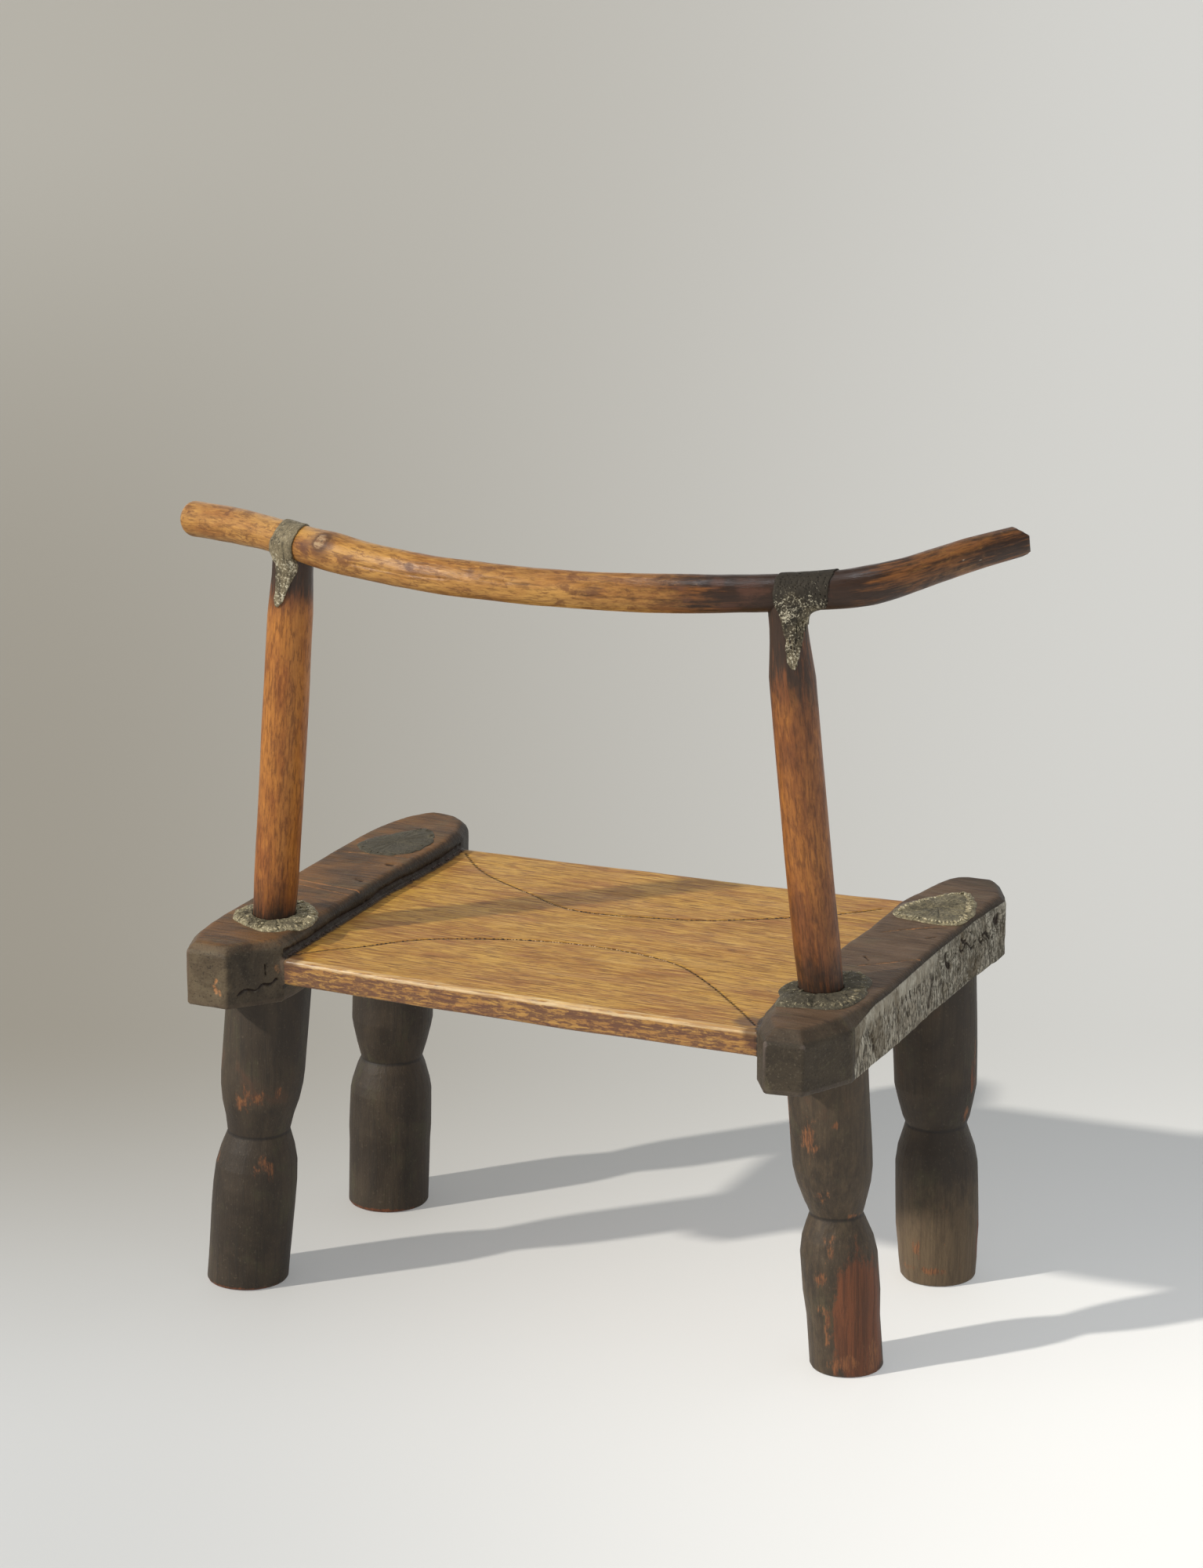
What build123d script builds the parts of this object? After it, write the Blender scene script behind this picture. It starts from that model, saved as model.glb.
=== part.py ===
from build123d import *

import os

os.makedirs("parts", exist_ok=True)

# African birthing chair, in millimetres. +Z is up and z = 0 is the floor. The sitter faces -Y, so
# the back posts stand on the +Y side, and +X is the sitter's left. The origin is on the floor under
# the middle of the chair. One carved block holds the thin seat and the two thick side rails. Four
# round legs are tenoned up through the rails. The back posts are socketed in the tops of the rear
# legs, and a bent branch rides on them, held by two metal saddle straps. Metal leaves cover the
# mortises. The chair is hand carved, so left and right differ and each has its own sizes.

# ---- fits --------------------------------------------------------------------------------------
wood_gap = 0.3  # round tenon in its mortise or socket
metal_gap = 0.3  # metal round the wood that it wraps
socket_relief = 1.5  # empty room at the bottom of a blind socket

# ---- seat block --------------------------------------------------------------------------------
rail_top = 294  # top faces of both rails above the floor
rail_depth = 48  # rail height, top to underside
rail_arris = 5  # rounding of the rails' long edges
tail_corner = 7  # upright arrises of the rear ends
nose_side_corner = 60  # slow turn from a rail's side into its front end
nose_tip_corner = 12
seat_drop = 14  # seat surface below the rail tops
seat_thickness = 20
seat_arris = 3

left_rail_width = 74
left_rail_inner_rear = 192  # inner face from the chair's middle plane, at the rear end
left_rail_inner_front = 180
left_rail_tail = 186  # rear end behind the origin
left_rail_nose = 191  # front end ahead of the origin
left_tail_inner_bevel = (0.419, 35)  # share of the rail's width across it, and length along it
left_tail_outer_bevel = (0.122, 32)
left_nose_inner_bevel = (0.324, 40)
left_nose_outer_bevel = (0.351, 61)

right_rail_width = 71
right_rail_inner_rear = 182.5
right_rail_inner_front = 197
right_rail_tail = 200
right_rail_nose = 196
right_tail_inner_bevel = (0.324, 48)
right_tail_outer_bevel = (0.282, 44)
right_nose_inner_bevel = (0.423, 80)
right_nose_outer_bevel = (0.31, 41)

seat_rear_left = 154  # the seat's curved rear edge: at the left rail, in the middle, at the right
seat_rear_middle = 164.5
seat_rear_right = 167
seat_front_left = 146
seat_front_right = 157

# ---- legs --------------------------------------------------------------------------------------
# Each mortise is given as a share of the rail's width from its inner face, and behind the origin.
front_left_mortise = (0.4535, -98.5)
front_right_mortise = (0.456, -104)
rear_left_mortise = (0.4827, 100.5)
rear_right_mortise = (0.364, 100.4)
front_left_splay = (4.5, 13)  # from the mortise at the rail top to the leg's axis on the floor
front_right_splay = (-9, -1)
rear_left_splay = (27, 3)
rear_right_splay = (-19, -12.9)

leg_radius = 32  # both barrels of a leg
leg_foot_radius = 31.3
leg_waist_radius = 23.8
worn_foot_radius = 28.7  # the front right foot is worn thinner
slim_leg_radius = 28.5  # the rear right leg is thinner than the others
slim_foot_radius = 27
slim_thigh_radius = 30
slim_waist_radius = 19.6
waist_height = 121.8  # sharp waist between the barrels
waist_below = 28  # length of the curve that draws the lower barrel in
waist_above = 37
foot_swell = 42  # the lower barrel reaches its full radius this far up
foot_arris = 2.5
leg_tenon_radius = 21
trim = 8  # spare length of a slanting stick, taken off by the level cut at its end

# ---- back posts --------------------------------------------------------------------------------
post_rise = 293.5  # rail tops up to the crest's centre line
left_post_lean = (-26.5, 9)  # from the post's base to the crest's centre line
right_post_lean = (27, 8.3)
post_radius = 16.9
post_base_radius = 16.2
post_base_taper = 30
left_neck_radius = 15.2  # where the post goes under the crest
right_neck_radius = 13.8
neck_length = 26
neck_taper = 30
cope_drop = 7  # top of the coped shoulder below the crest's centre line
lower_tenon_radius = 11
lower_tenon_length = 45
upper_tenon_radius = 7
upper_tenon_reach = 5  # above the crest's centre line
upper_tenon_root = 22  # below the crest's centre line, where it leaves the shoulder

# ---- crest rail --------------------------------------------------------------------------------
# A bent branch. Each bend is given across, back and up from the post beside it, and the middle
# from halfway between the posts.
crest_radius = 13.3
crest_left_end_radius = 13
crest_right_end_radius = 11.3
crest_end_arris = 3
left_tip = (121, -69, -9.5)
left_arm = (79.6, -49.5, -6)
left_bend = (-54.4, 28.5, 1)
crest_middle = (38.5, 49.7, -0.6)
right_bend = (95, 35, -1.5)
right_knee = (-54.7, -22, 5.7)
right_arm = (-95.7, -69, 15.2)
right_tip = (-136.5, -123, 23)
crest_sections = 25  # round sections that the branch is lofted through

# ---- metal -------------------------------------------------------------------------------------
strap_thickness = 2.2
strap_apron = 9  # the saddles reach this far below the crest's centre line
left_strap_width = 25
right_strap_width = 35
left_strap_offset = 8  # saddle's middle outside the post's axis
right_strap_offset = 6
left_tongue_root = 20  # width where the tongue leaves the saddle
right_tongue_root = 28
tongue_width = 16
tongue_tip_width = 6
tongue_flare = 27  # from the crest's centre line down to where the tongue reaches its width
left_tip_offset = 4  # tongue's tip outside the top of the post's axis
right_tip_offset = 11
left_tongue_length = 47  # from the crest's centre line down to the tip
right_tongue_length = 57

plate_arris = 0.7
collar_thickness = 3
left_collar_reach = (33, 37, 34, 37)  # from the post's axis outwards, back, inwards and ahead
right_collar_reach = (34, 47, 21, 45)
cap_thickness = 2
left_cap_reach = (26, 32, 25, 45)  # from the leg's axis outwards, back, inwards and ahead
right_cap_reach = (33, 33, 25, 47)

# ---- what follows from the sizes ---------------------------------------------------------------
rail_underside = rail_top - rail_depth
seat_top = rail_top - seat_drop
seat_underside = seat_top - seat_thickness
wide_of_crest = 3 * crest_radius  # far enough out to pass the branch and a post


def upright(foot, head):
    """Plane whose origin is foot, and whose y axis points at head, for the outline of a round stick."""
    along = (head - foot).normalized()
    across = Vector(0, 1, 0).cross(along).normalized()
    return Plane(origin=foot, x_dir=across, z_dir=across.cross(along))


def crosswise(spot, foot, head):
    """Plane at a spot, square to the line from foot to head."""
    return Plane(origin=spot, x_dir=(1, 0, 0), z_dir=(head - foot).normalized())


def round_bar(spot, foot, head, radius, down, up):
    """Cylinder along a stick's axis, from a distance down the stick from a spot to a distance up it."""
    with BuildPart() as bar:
        with BuildSketch(crosswise(spot, foot, head).offset(-down)):
            Circle(radius)
        extrude(amount=down + up)
    return bar.part


def write(piece, name):
    """Labels a finished piece and writes its file."""
    piece.part.label = name
    export_step(piece.part, f"parts/{name}.step")


# Each rail: side of the chair, width, inner face at its rear and front ends, and how far both ends reach.
left_inner = (left_rail_inner_rear, left_rail_inner_front)
right_inner = (right_rail_inner_rear, right_rail_inner_front)
left_plan = (1, left_rail_width, left_inner, (left_rail_tail, left_rail_nose))
right_plan = (-1, right_rail_width, right_inner, (right_rail_tail, right_rail_nose))


def inner_face(plan, y):
    """Distance of a rail's inner face from the chair's middle plane, at a distance behind the origin."""
    rear, front = plan[2]
    tail, nose = plan[3]
    return rear + (front - rear) * (tail - y) / (tail + nose)


def leg_head(plan, mortise):
    """Leg axis at the rail top."""
    side, width = plan[:2]
    share, y = mortise
    return Vector(side * (inner_face(plan, y) + share * width), y, rail_top)


# Leg axes: mortise at the rail top, and foot on the floor.
leg_heads = {
    "front_left_leg": leg_head(left_plan, front_left_mortise),
    "front_right_leg": leg_head(right_plan, front_right_mortise),
    "rear_left_leg": leg_head(left_plan, rear_left_mortise),
    "rear_right_leg": leg_head(right_plan, rear_right_mortise),
}
leg_feet = {
    "front_left_leg": leg_heads["front_left_leg"] + Vector(*front_left_splay, -rail_top),
    "front_right_leg": leg_heads["front_right_leg"] + Vector(*front_right_splay, -rail_top),
    "rear_left_leg": leg_heads["rear_left_leg"] + Vector(*rear_left_splay, -rail_top),
    "rear_right_leg": leg_heads["rear_right_leg"] + Vector(*rear_right_splay, -rail_top),
}

# Post axes: base on the rail top in the middle of the rear mortise, head on the crest's centre line.
left_base = leg_heads["rear_left_leg"]
right_base = leg_heads["rear_right_leg"]
left_head = left_base + Vector(*left_post_lean, post_rise)
right_head = right_base + Vector(*right_post_lean, post_rise)


# ---- seat block: thin seat between two thick rails, carved in one ----------------------------
def carved_rail(plan, tail_bevels, nose_bevels):
    """One side rail: a straight plank with bevelled rear end and rounded front end."""
    side, width, _, (tail, nose) = plan
    tail_inner, tail_outer = tail_bevels
    nose_inner, nose_outer = nose_bevels
    turns = [
        (0, tail - tail_inner[1]),
        (tail_inner[0], tail),
        (1 - tail_outer[0], tail),
        (1, tail - tail_outer[1]),
        (1, nose_outer[1] - nose),
        (1 - nose_outer[0], -nose),
        (nose_inner[0], -nose),
        (0, nose_inner[1] - nose),
    ]
    corners = [(side * (inner_face(plan, y) + share * width), y) for share, y in turns]
    tail_rounds = [tail_corner, tail_corner, tail_corner, tail_corner]
    nose_rounds = [nose_side_corner, nose_tip_corner, nose_tip_corner, nose_side_corner]
    with BuildPart() as rail:
        with BuildSketch(Plane.XY.offset(rail_underside)):
            with BuildLine():
                FilletPolyline(*corners, radius=tail_rounds + nose_rounds, close=True)
            make_face()
        extrude(amount=rail_depth)
        fillet(rail.faces().filter_by(Axis.Z).edges(), rail_arris)
    return rail.part


left_tail_bevels = (left_tail_inner_bevel, left_tail_outer_bevel)
left_nose_bevels = (left_nose_inner_bevel, left_nose_outer_bevel)
right_tail_bevels = (right_tail_inner_bevel, right_tail_outer_bevel)
right_nose_bevels = (right_nose_inner_bevel, right_nose_outer_bevel)
left_rail = carved_rail(left_plan, left_tail_bevels, left_nose_bevels)
right_rail = carved_rail(right_plan, right_tail_bevels, right_nose_bevels)
mortises = [
    round_bar(head, leg_feet[name], head, leg_tenon_radius + wood_gap, rail_depth + trim, trim)
    for name, head in leg_heads.items()
]
seat_left = left_rail_inner_rear + left_rail_width / 2
seat_right = -right_rail_inner_rear - right_rail_width / 2

with BuildPart() as seat_block:
    with BuildSketch(Plane.XY.offset(seat_underside)):
        with BuildLine():
            rear_edge = ThreePointArc(
                (seat_left, seat_rear_left), (0, seat_rear_middle), (seat_right, seat_rear_right)
            )
            Polyline(
                rear_edge @ 1, (seat_right, -seat_front_right), (seat_left, -seat_front_left), rear_edge @ 0
            )
        make_face()
    extrude(amount=seat_thickness)
    rims = seat_block.faces().filter_by(Axis.Z).edges()
    fillet(rims.filter_by(Axis.Y, reverse=True), seat_arris)
    add([left_rail, right_rail])
    add(mortises, mode=Mode.SUBTRACT)
write(seat_block, "seat_block")


# ---- legs: two round barrels with a sharp waist, and a through tenon ------------------------
def carved_leg(name, foot_radius, lower_radius, waist_radius, upper_radius):
    """One leg, cut level at the floor and at the rail's underside, with its tenon up to the rail top."""
    foot = leg_feet[name]
    head = leg_heads[name]
    length = (head - foot).length
    tenon = round_bar(head, foot, head, leg_tenon_radius, rail_depth + trim, trim)
    with BuildPart() as leg:
        with BuildSketch(upright(foot, head)):
            with BuildLine():
                Polyline(
                    (0, -trim),
                    (foot_radius, -trim),
                    (lower_radius, foot_swell),
                    (lower_radius, waist_height - waist_below),
                )
                TangentArc(
                    (lower_radius, waist_height - waist_below), (waist_radius, waist_height), tangent=(0, 1)
                )
                TangentArc(
                    (upper_radius, waist_height + waist_above), (waist_radius, waist_height), tangent=(0, -1)
                )
                Polyline((upper_radius, waist_height + waist_above), (upper_radius, length), (0, length))
                Line((0, length), (0, -trim))
            make_face()
        revolve(axis=Axis(foot, head - foot))
        split(bisect_by=Plane.XY.offset(rail_underside), keep=Keep.BOTTOM)
        add(tenon)
        split(bisect_by=Plane.XY.offset(rail_top), keep=Keep.BOTTOM)
        split(bisect_by=Plane.XY, keep=Keep.TOP)
        fillet(leg.faces().sort_by(Axis.Z)[0].edges(), foot_arris)
    return leg


def bored_leg(leg, base, head):
    """A rear leg with the blind socket for its back post."""
    depth = lower_tenon_length + socket_relief
    socket = round_bar(base, base, head, lower_tenon_radius + wood_gap, depth, trim)
    with BuildPart() as socketed:
        add(leg.part)
        add(socket, mode=Mode.SUBTRACT)
    return socketed


front_left_leg = carved_leg("front_left_leg", leg_foot_radius, leg_radius, leg_waist_radius, leg_radius)
front_right_leg = carved_leg("front_right_leg", worn_foot_radius, leg_radius, leg_waist_radius, leg_radius)
rear_left_leg = carved_leg("rear_left_leg", leg_foot_radius, leg_radius, leg_waist_radius, leg_radius)
rear_right_leg = carved_leg(
    "rear_right_leg", slim_foot_radius, slim_leg_radius, slim_waist_radius, slim_thigh_radius
)
write(front_left_leg, "front_left_leg")
write(front_right_leg, "front_right_leg")
write(bored_leg(rear_left_leg, left_base, left_head), "rear_left_leg")
write(bored_leg(rear_right_leg, right_base, right_head), "rear_right_leg")


# ---- crest rail: bent branch, thinner towards its right tip ---------------------------------
between_heads = (left_head + right_head) / 2
crest_line = Spline(
    left_head + Vector(*left_tip),
    left_head + Vector(*left_arm),
    left_head,
    left_head + Vector(*left_bend),
    between_heads + Vector(*crest_middle),
    right_head + Vector(*right_bend),
    right_head,
    right_head + Vector(*right_knee),
    right_head + Vector(*right_arm),
    right_head + Vector(*right_tip),
)
left_share = crest_line.param_at_point(left_head)
right_share = crest_line.param_at_point(right_head)


def branch_radius(share):
    """Radius at a share of the branch's length: even between the posts, and drawn in to the tips."""
    if share < left_share:
        return crest_left_end_radius + (crest_radius - crest_left_end_radius) * share / left_share
    if share > right_share:
        outer_share = (share - right_share) / (1 - right_share)
        return crest_radius + (crest_right_end_radius - crest_radius) * outer_share
    return crest_radius


def across_branch(share):
    """Plane square to the branch, with its x axis upwards."""
    return Plane(origin=crest_line @ share, x_dir=(0, 0, 1), z_dir=crest_line % share)


def branch(extra):
    """The crest's solid, or with extra radius the space that is kept clear round it."""
    with BuildPart() as solid:
        for station in range(crest_sections):
            share = station / (crest_sections - 1)
            with BuildSketch(across_branch(share)):
                Circle(branch_radius(share) + extra)
        loft()
    return solid.part


crest_solid = branch(0)
crest_clearance = branch(wood_gap)
crest_bore = upper_tenon_reach + socket_relief
crest_sockets = [
    round_bar(head, base, head, upper_tenon_radius + wood_gap, upper_tenon_root, crest_bore)
    for base, head in ((left_base, left_head), (right_base, right_head))
]

with BuildPart() as crest_rail:
    add(crest_solid)
    fillet(crest_rail.faces().filter_by(GeomType.PLANE).edges(), crest_end_arris)
    add(crest_sockets, mode=Mode.SUBTRACT)
write(crest_rail, "crest_rail")


# ---- back posts: round sticks, coped to the crest, tenoned at both ends ----------------------
def post_body(base, head, neck_radius, extra, drop):
    """Post from the rail top to a drop below the crest's centre line, with extra radius if wanted."""
    length = (head - base).length
    with BuildPart() as body:
        with BuildSketch(upright(base, head)):
            with BuildLine():
                Polyline(
                    (0, -trim),
                    (post_base_radius + extra, -trim),
                    (post_radius + extra, post_base_taper),
                    (post_radius + extra, length - neck_length - neck_taper),
                    (neck_radius + extra, length - neck_length),
                    (neck_radius + extra, length - drop),
                    (0, length - drop),
                    close=True,
                )
            make_face()
        revolve(axis=Axis(base, head - base))
        split(bisect_by=Plane.XY.offset(rail_top), keep=Keep.TOP)
    return body.part


def back_post(base, head, neck_radius):
    """One back post with its coped shoulder and both tenons."""
    body = post_body(base, head, neck_radius, 0, cope_drop)
    upper_tenon = round_bar(head, base, head, upper_tenon_radius, upper_tenon_root, upper_tenon_reach)
    lower_tenon = round_bar(base, base, head, lower_tenon_radius, lower_tenon_length, trim)
    with BuildPart() as post:
        add(body)
        add(crest_clearance, mode=Mode.SUBTRACT)
        add([upper_tenon, lower_tenon])
    return post


write(back_post(left_base, left_head, left_neck_radius), "left_back_post")
write(back_post(right_base, right_head, right_neck_radius), "right_back_post")


# ---- crest straps: saddles over the crest with tongues down both faces of the post -----------
strap_skin = branch(metal_gap + strap_thickness)
strap_bore = branch(metal_gap)


def crest_strap(post, outward, saddle, tongue):
    """One saddle strap; outward is 1 on the left of the chair and -1 on the right."""
    base, head, neck_radius = post
    offset, width = saddle
    root_width, tip_offset, tongue_length = tongue
    saddle_share = crest_line.param_at_point(head) - outward * offset / crest_line.length
    shell = post_body(base, head, neck_radius, metal_gap + strap_thickness, 0)
    bore = post_body(base, head, neck_radius, metal_gap, 0)
    root = outward * offset
    tip = outward * tip_offset
    middle = (root + tip) / 2
    with BuildPart() as tongues:
        add(shell)
        with BuildSketch(Plane(origin=head, x_dir=(1, 0, 0), z_dir=(0, -1, 0))):
            Polygon(
                (root - root_width / 2, 0),
                (root - root_width / 2, -crest_radius),
                (middle - tongue_width / 2, -tongue_flare),
                (tip - tongue_tip_width / 2, -tongue_length),
                (tip + tongue_tip_width / 2, -tongue_length),
                (middle + tongue_width / 2, -tongue_flare),
                (root + root_width / 2, -crest_radius),
                (root + root_width / 2, 0),
                align=None,
            )
        extrude(amount=wide_of_crest, both=True, mode=Mode.INTERSECT)
    with BuildPart() as strap:
        add(strap_skin)
        with BuildSketch(across_branch(saddle_share)):
            Circle(wide_of_crest)
        extrude(amount=width / 2, both=True, mode=Mode.INTERSECT)
        split(bisect_by=Plane.XY.offset(head.Z - strap_apron), keep=Keep.TOP)
        add(tongues.part)
        add(strap_bore, mode=Mode.SUBTRACT)
        add(bore, mode=Mode.SUBTRACT)
    return strap


left_crest_strap = crest_strap(
    (left_base, left_head, left_neck_radius),
    1,
    (left_strap_offset, left_strap_width),
    (left_tongue_root, left_tip_offset, left_tongue_length),
)
right_crest_strap = crest_strap(
    (right_base, right_head, right_neck_radius),
    -1,
    (right_strap_offset, right_strap_width),
    (right_tongue_root, right_tip_offset, right_tongue_length),
)
write(left_crest_strap, "left_crest_strap")
write(right_crest_strap, "right_crest_strap")


# ---- metal leaves over the mortises ----------------------------------------------------------
def metal_leaf(centre, outward, reach, thickness):
    """Flat oval plate on the rail top, from its reach outwards, back, inwards and ahead of a centre."""
    out, back, inwards, ahead = reach
    with BuildPart() as leaf:
        with BuildSketch(Plane(origin=(centre.X, centre.Y, rail_top))):
            with BuildLine():
                Spline(
                    (outward * out, 0),
                    (0, back),
                    (-outward * inwards, 0),
                    (0, -ahead),
                    periodic=True,
                )
            make_face()
        extrude(amount=thickness)
        fillet(leaf.faces().sort_by(Axis.Z)[-1].edges(), plate_arris)
    return leaf


def post_collar(base, head, outward, neck_radius, reach):
    """A leaf bored for its back post."""
    leaf = metal_leaf(base, outward, reach, collar_thickness)
    bore = post_body(base, head, neck_radius, metal_gap, 0)
    with BuildPart() as collar:
        add(leaf.part)
        add(bore, mode=Mode.SUBTRACT)
    return collar


write(post_collar(left_base, left_head, 1, left_neck_radius, left_collar_reach), "left_post_collar")
write(post_collar(right_base, right_head, -1, right_neck_radius, right_collar_reach), "right_post_collar")
write(metal_leaf(leg_heads["front_left_leg"], 1, left_cap_reach, cap_thickness), "front_left_leg_cap")
write(metal_leaf(leg_heads["front_right_leg"], -1, right_cap_reach, cap_thickness), "front_right_leg_cap")
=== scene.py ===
import itertools
import math

import bmesh
import bpy
import numpy as np
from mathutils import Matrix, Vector


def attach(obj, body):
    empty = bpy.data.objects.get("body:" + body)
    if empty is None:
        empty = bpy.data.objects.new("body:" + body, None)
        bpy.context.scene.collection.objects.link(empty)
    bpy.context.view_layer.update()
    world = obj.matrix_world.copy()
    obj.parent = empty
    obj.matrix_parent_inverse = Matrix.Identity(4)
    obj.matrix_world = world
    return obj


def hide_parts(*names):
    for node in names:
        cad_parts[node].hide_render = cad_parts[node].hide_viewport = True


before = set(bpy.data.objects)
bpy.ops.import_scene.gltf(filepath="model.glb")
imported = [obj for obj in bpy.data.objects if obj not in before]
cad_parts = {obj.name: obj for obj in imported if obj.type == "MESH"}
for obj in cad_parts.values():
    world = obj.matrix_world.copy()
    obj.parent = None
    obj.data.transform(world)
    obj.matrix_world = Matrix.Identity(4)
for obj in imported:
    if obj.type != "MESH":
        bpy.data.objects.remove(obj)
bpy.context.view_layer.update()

# ---- the room ------------------------------------------------------------------------------------
# A pale floor with painted light and shade: paler round the chair, greyer further off and to the left.
# Low sun comes from behind the chair's left shoulder, and soft light from the walls and the ceiling fills in.
MM = 0.001
sun_towards = Vector((1.142, 1.167, 1.0))
camera_place = Vector((-1.43640, 3.44069, 1.52115))
camera_aim = Vector((0.001015, 0.000424, 0.39488))


class Wire:
    """A node's output that takes part in sums: each sum adds the Math node that works it out."""

    def __init__(self, tree, socket):
        self.tree = tree
        self.socket = socket

    def math(self, operation, *terms):
        node = self.tree.nodes.new("ShaderNodeMath")
        node.operation = operation
        for place, term in zip(node.inputs, terms):
            if isinstance(term, Wire):
                self.tree.links.new(term.socket, place)
            else:
                place.default_value = term
        return Wire(self.tree, node.outputs[0])

    def __add__(self, other):
        return self.math("ADD", self, other)

    def __sub__(self, other):
        return self.math("SUBTRACT", self, other)

    def __rsub__(self, other):
        return self.math("SUBTRACT", other, self)

    def __mul__(self, other):
        return self.math("MULTIPLY", self, other)

    def __truediv__(self, other):
        return self.math("DIVIDE", self, other)

    __radd__ = __add__
    __rmul__ = __mul__


def add_node(tree, kind, settings=None, sockets=None, out=0):
    """Adds a node with its settings and its sockets' values or links, and gives one output."""
    node = tree.nodes.new(kind)
    for name, value in (settings or {}).items():
        setattr(node, name, value)
    for name, value in (sockets or {}).items():
        if isinstance(value, bpy.types.NodeSocket):
            tree.links.new(value, node.inputs[name])
        else:
            node.inputs[name].default_value = value
    return node.outputs[out]


class Finish:
    """A surface finish: a material whose nodes are made and wired by short calls."""

    def __init__(self, name, **constants):
        self.material = bpy.data.materials.new(name)
        self.material.use_nodes = True
        self.tree = self.material.node_tree
        self.shader = self.tree.nodes["Principled BSDF"]
        for socket, value in constants.items():
            self.shader.inputs[socket.replace("_", " ")].default_value = value

    def node(self, kind, settings=None, sockets=None, out=0):
        """Adds a shader node, with values or wires for its sockets, and gives one output as a wire."""
        sockets = {name: getattr(value, "socket", value) for name, value in (sockets or {}).items()}
        return Wire(self.tree, add_node(self.tree, "ShaderNode" + kind, settings, sockets, out))

    def place(self, stretch=(1, 1, 1), attribute=None):
        """The point on the piece, each axis stretched, from Object coordinates or a stored grain map."""
        if attribute:
            point = self.node("Attribute", {"attribute_name": attribute}, out="Vector")
        else:
            point = self.node("TexCoord", out="Object")
        if stretch == (1, 1, 1):
            return point
        return self.node("VectorMath", {"operation": "MULTIPLY"}, {0: point, 1: stretch})

    def axes(self, point):
        """The x, y and z of a point."""
        split = self.node("SeparateXYZ", None, {0: point})
        return [Wire(self.tree, out) for out in split.socket.node.outputs]

    def stored(self, *names):
        """Numbers stored on the piece's mesh."""
        return [self.node("Attribute", {"attribute_name": name}, out="Fac") for name in names]

    def noise(self, stretch, detail=3.0, rough=0.5, warp=0.0, on=None):
        """Soft random shares between 0 and 1, with so many bumps to the metre along each axis."""
        values = {"Vector": self.place(stretch, on), "Scale": 1.0, "Detail": detail, "Roughness": rough}
        return self.node("TexNoise", None, {**values, "Distortion": warp}, out="Fac")

    def step(self, value, low, high):
        """0 below low, 1 above high, and smooth between."""
        values = {"Value": value, "From Min": low, "From Max": high}
        return self.node("MapRange", {"interpolation_type": "SMOOTHSTEP"}, values)

    def mix(self, share, a, b):
        """Colour a turned into colour b by a share."""
        a, b = ((*colour, 1.0) if isinstance(colour, tuple) else colour for colour in (a, b))
        return self.node("Mix", {"data_type": "RGBA"}, {0: share, 6: a, 7: b}, out=2)

    def layered(self, under, *layers):
        """A colour under layers, each with what it follows, where it starts and is full, strength, colour."""
        for follows, start, full, strength, colour in layers:
            under = self.mix(self.step(follows, start, full) * strength, under, colour)
        return under

    def bump(self, height, distance, strength=1.0, normal=None):
        """Normal that stands for a height in metres times distance."""
        values = {"Height": height, "Distance": distance, "Strength": strength}
        if normal:
            values["Normal"] = normal
        return self.node("Bump", None, values, out="Normal")

    def set(self, **values):
        """Wires or sets the shader's sockets, and gives the material."""
        for name, value in values.items():
            socket = self.shader.inputs[name.replace("_", " ")]
            if isinstance(value, Wire):
                self.tree.links.new(value.socket, socket)
            else:
                socket.default_value = value
        return self.material


def painted_floor():
    """A wide flat floor with painted light and shade: pale round the chair, grey far off as a shaded wall,
    darker left.
    """
    finish = Finish("floor_paint", Roughness=0.75, Specular_IOR_Level=0.2)
    x, y, _ = finish.axes(finish.place())
    away_x, away_y = 0.386, -0.9225  # the level way that the camera looks
    behind = x * away_x + y * away_y
    half_view = behind.math("MAXIMUM", behind + 3.8, 1.6)
    # painted shade: darker towards the left of the view, and grey far off where a wall in shade would stand
    left = finish.step((y * away_x - x * away_y) / half_view, -0.13, 0.13)
    near = finish.mix(left, (0.90, 0.895, 0.875), (0.60, 0.605, 0.60))
    far = finish.mix(left, (0.575, 0.575, 0.56), (0.285, 0.264, 0.224))
    far = finish.layered(far, (behind, 1.2, 5.5, left * 0.6, (0.46, 0.445, 0.405)))
    paint = finish.set(Base_Color=finish.layered(near, (behind, -0.35, 0.6, 1, far)))
    bpy.ops.mesh.primitive_circle_add(vertices=96, radius=16, fill_type="NGON")
    floor = bpy.context.object
    floor.name = "floor"
    floor.data.materials.append(paint)


def aimed(name, data, place, aim=(0, 0, 0)):
    """A lamp or a camera at a place, turned towards an aim."""
    holder = bpy.data.objects.new(name, data)
    bpy.context.scene.collection.objects.link(holder)
    holder.location = place
    holder.rotation_mode = "QUATERNION"
    holder.rotation_quaternion = (Vector(aim) - Vector(place)).to_track_quat("-Z", "Y")
    return holder


painted_floor()
for name, place, strength, colour, more in (
    ("low_sun", sun_towards.normalized() * 4, 3.0, (1.0, 0.95, 0.87), {"angle": math.radians(1.9)}),
    ("ceiling", (0, 0, 3), 1.12, (0.90, 0.95, 1.0), {"use_shadow": False}),
):
    light = bpy.data.lights.new(name, "SUN")
    for key, value in {"energy": strength, "color": colour, **more}.items():
        setattr(light, key, value)
    aimed(name, light, place)

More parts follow.
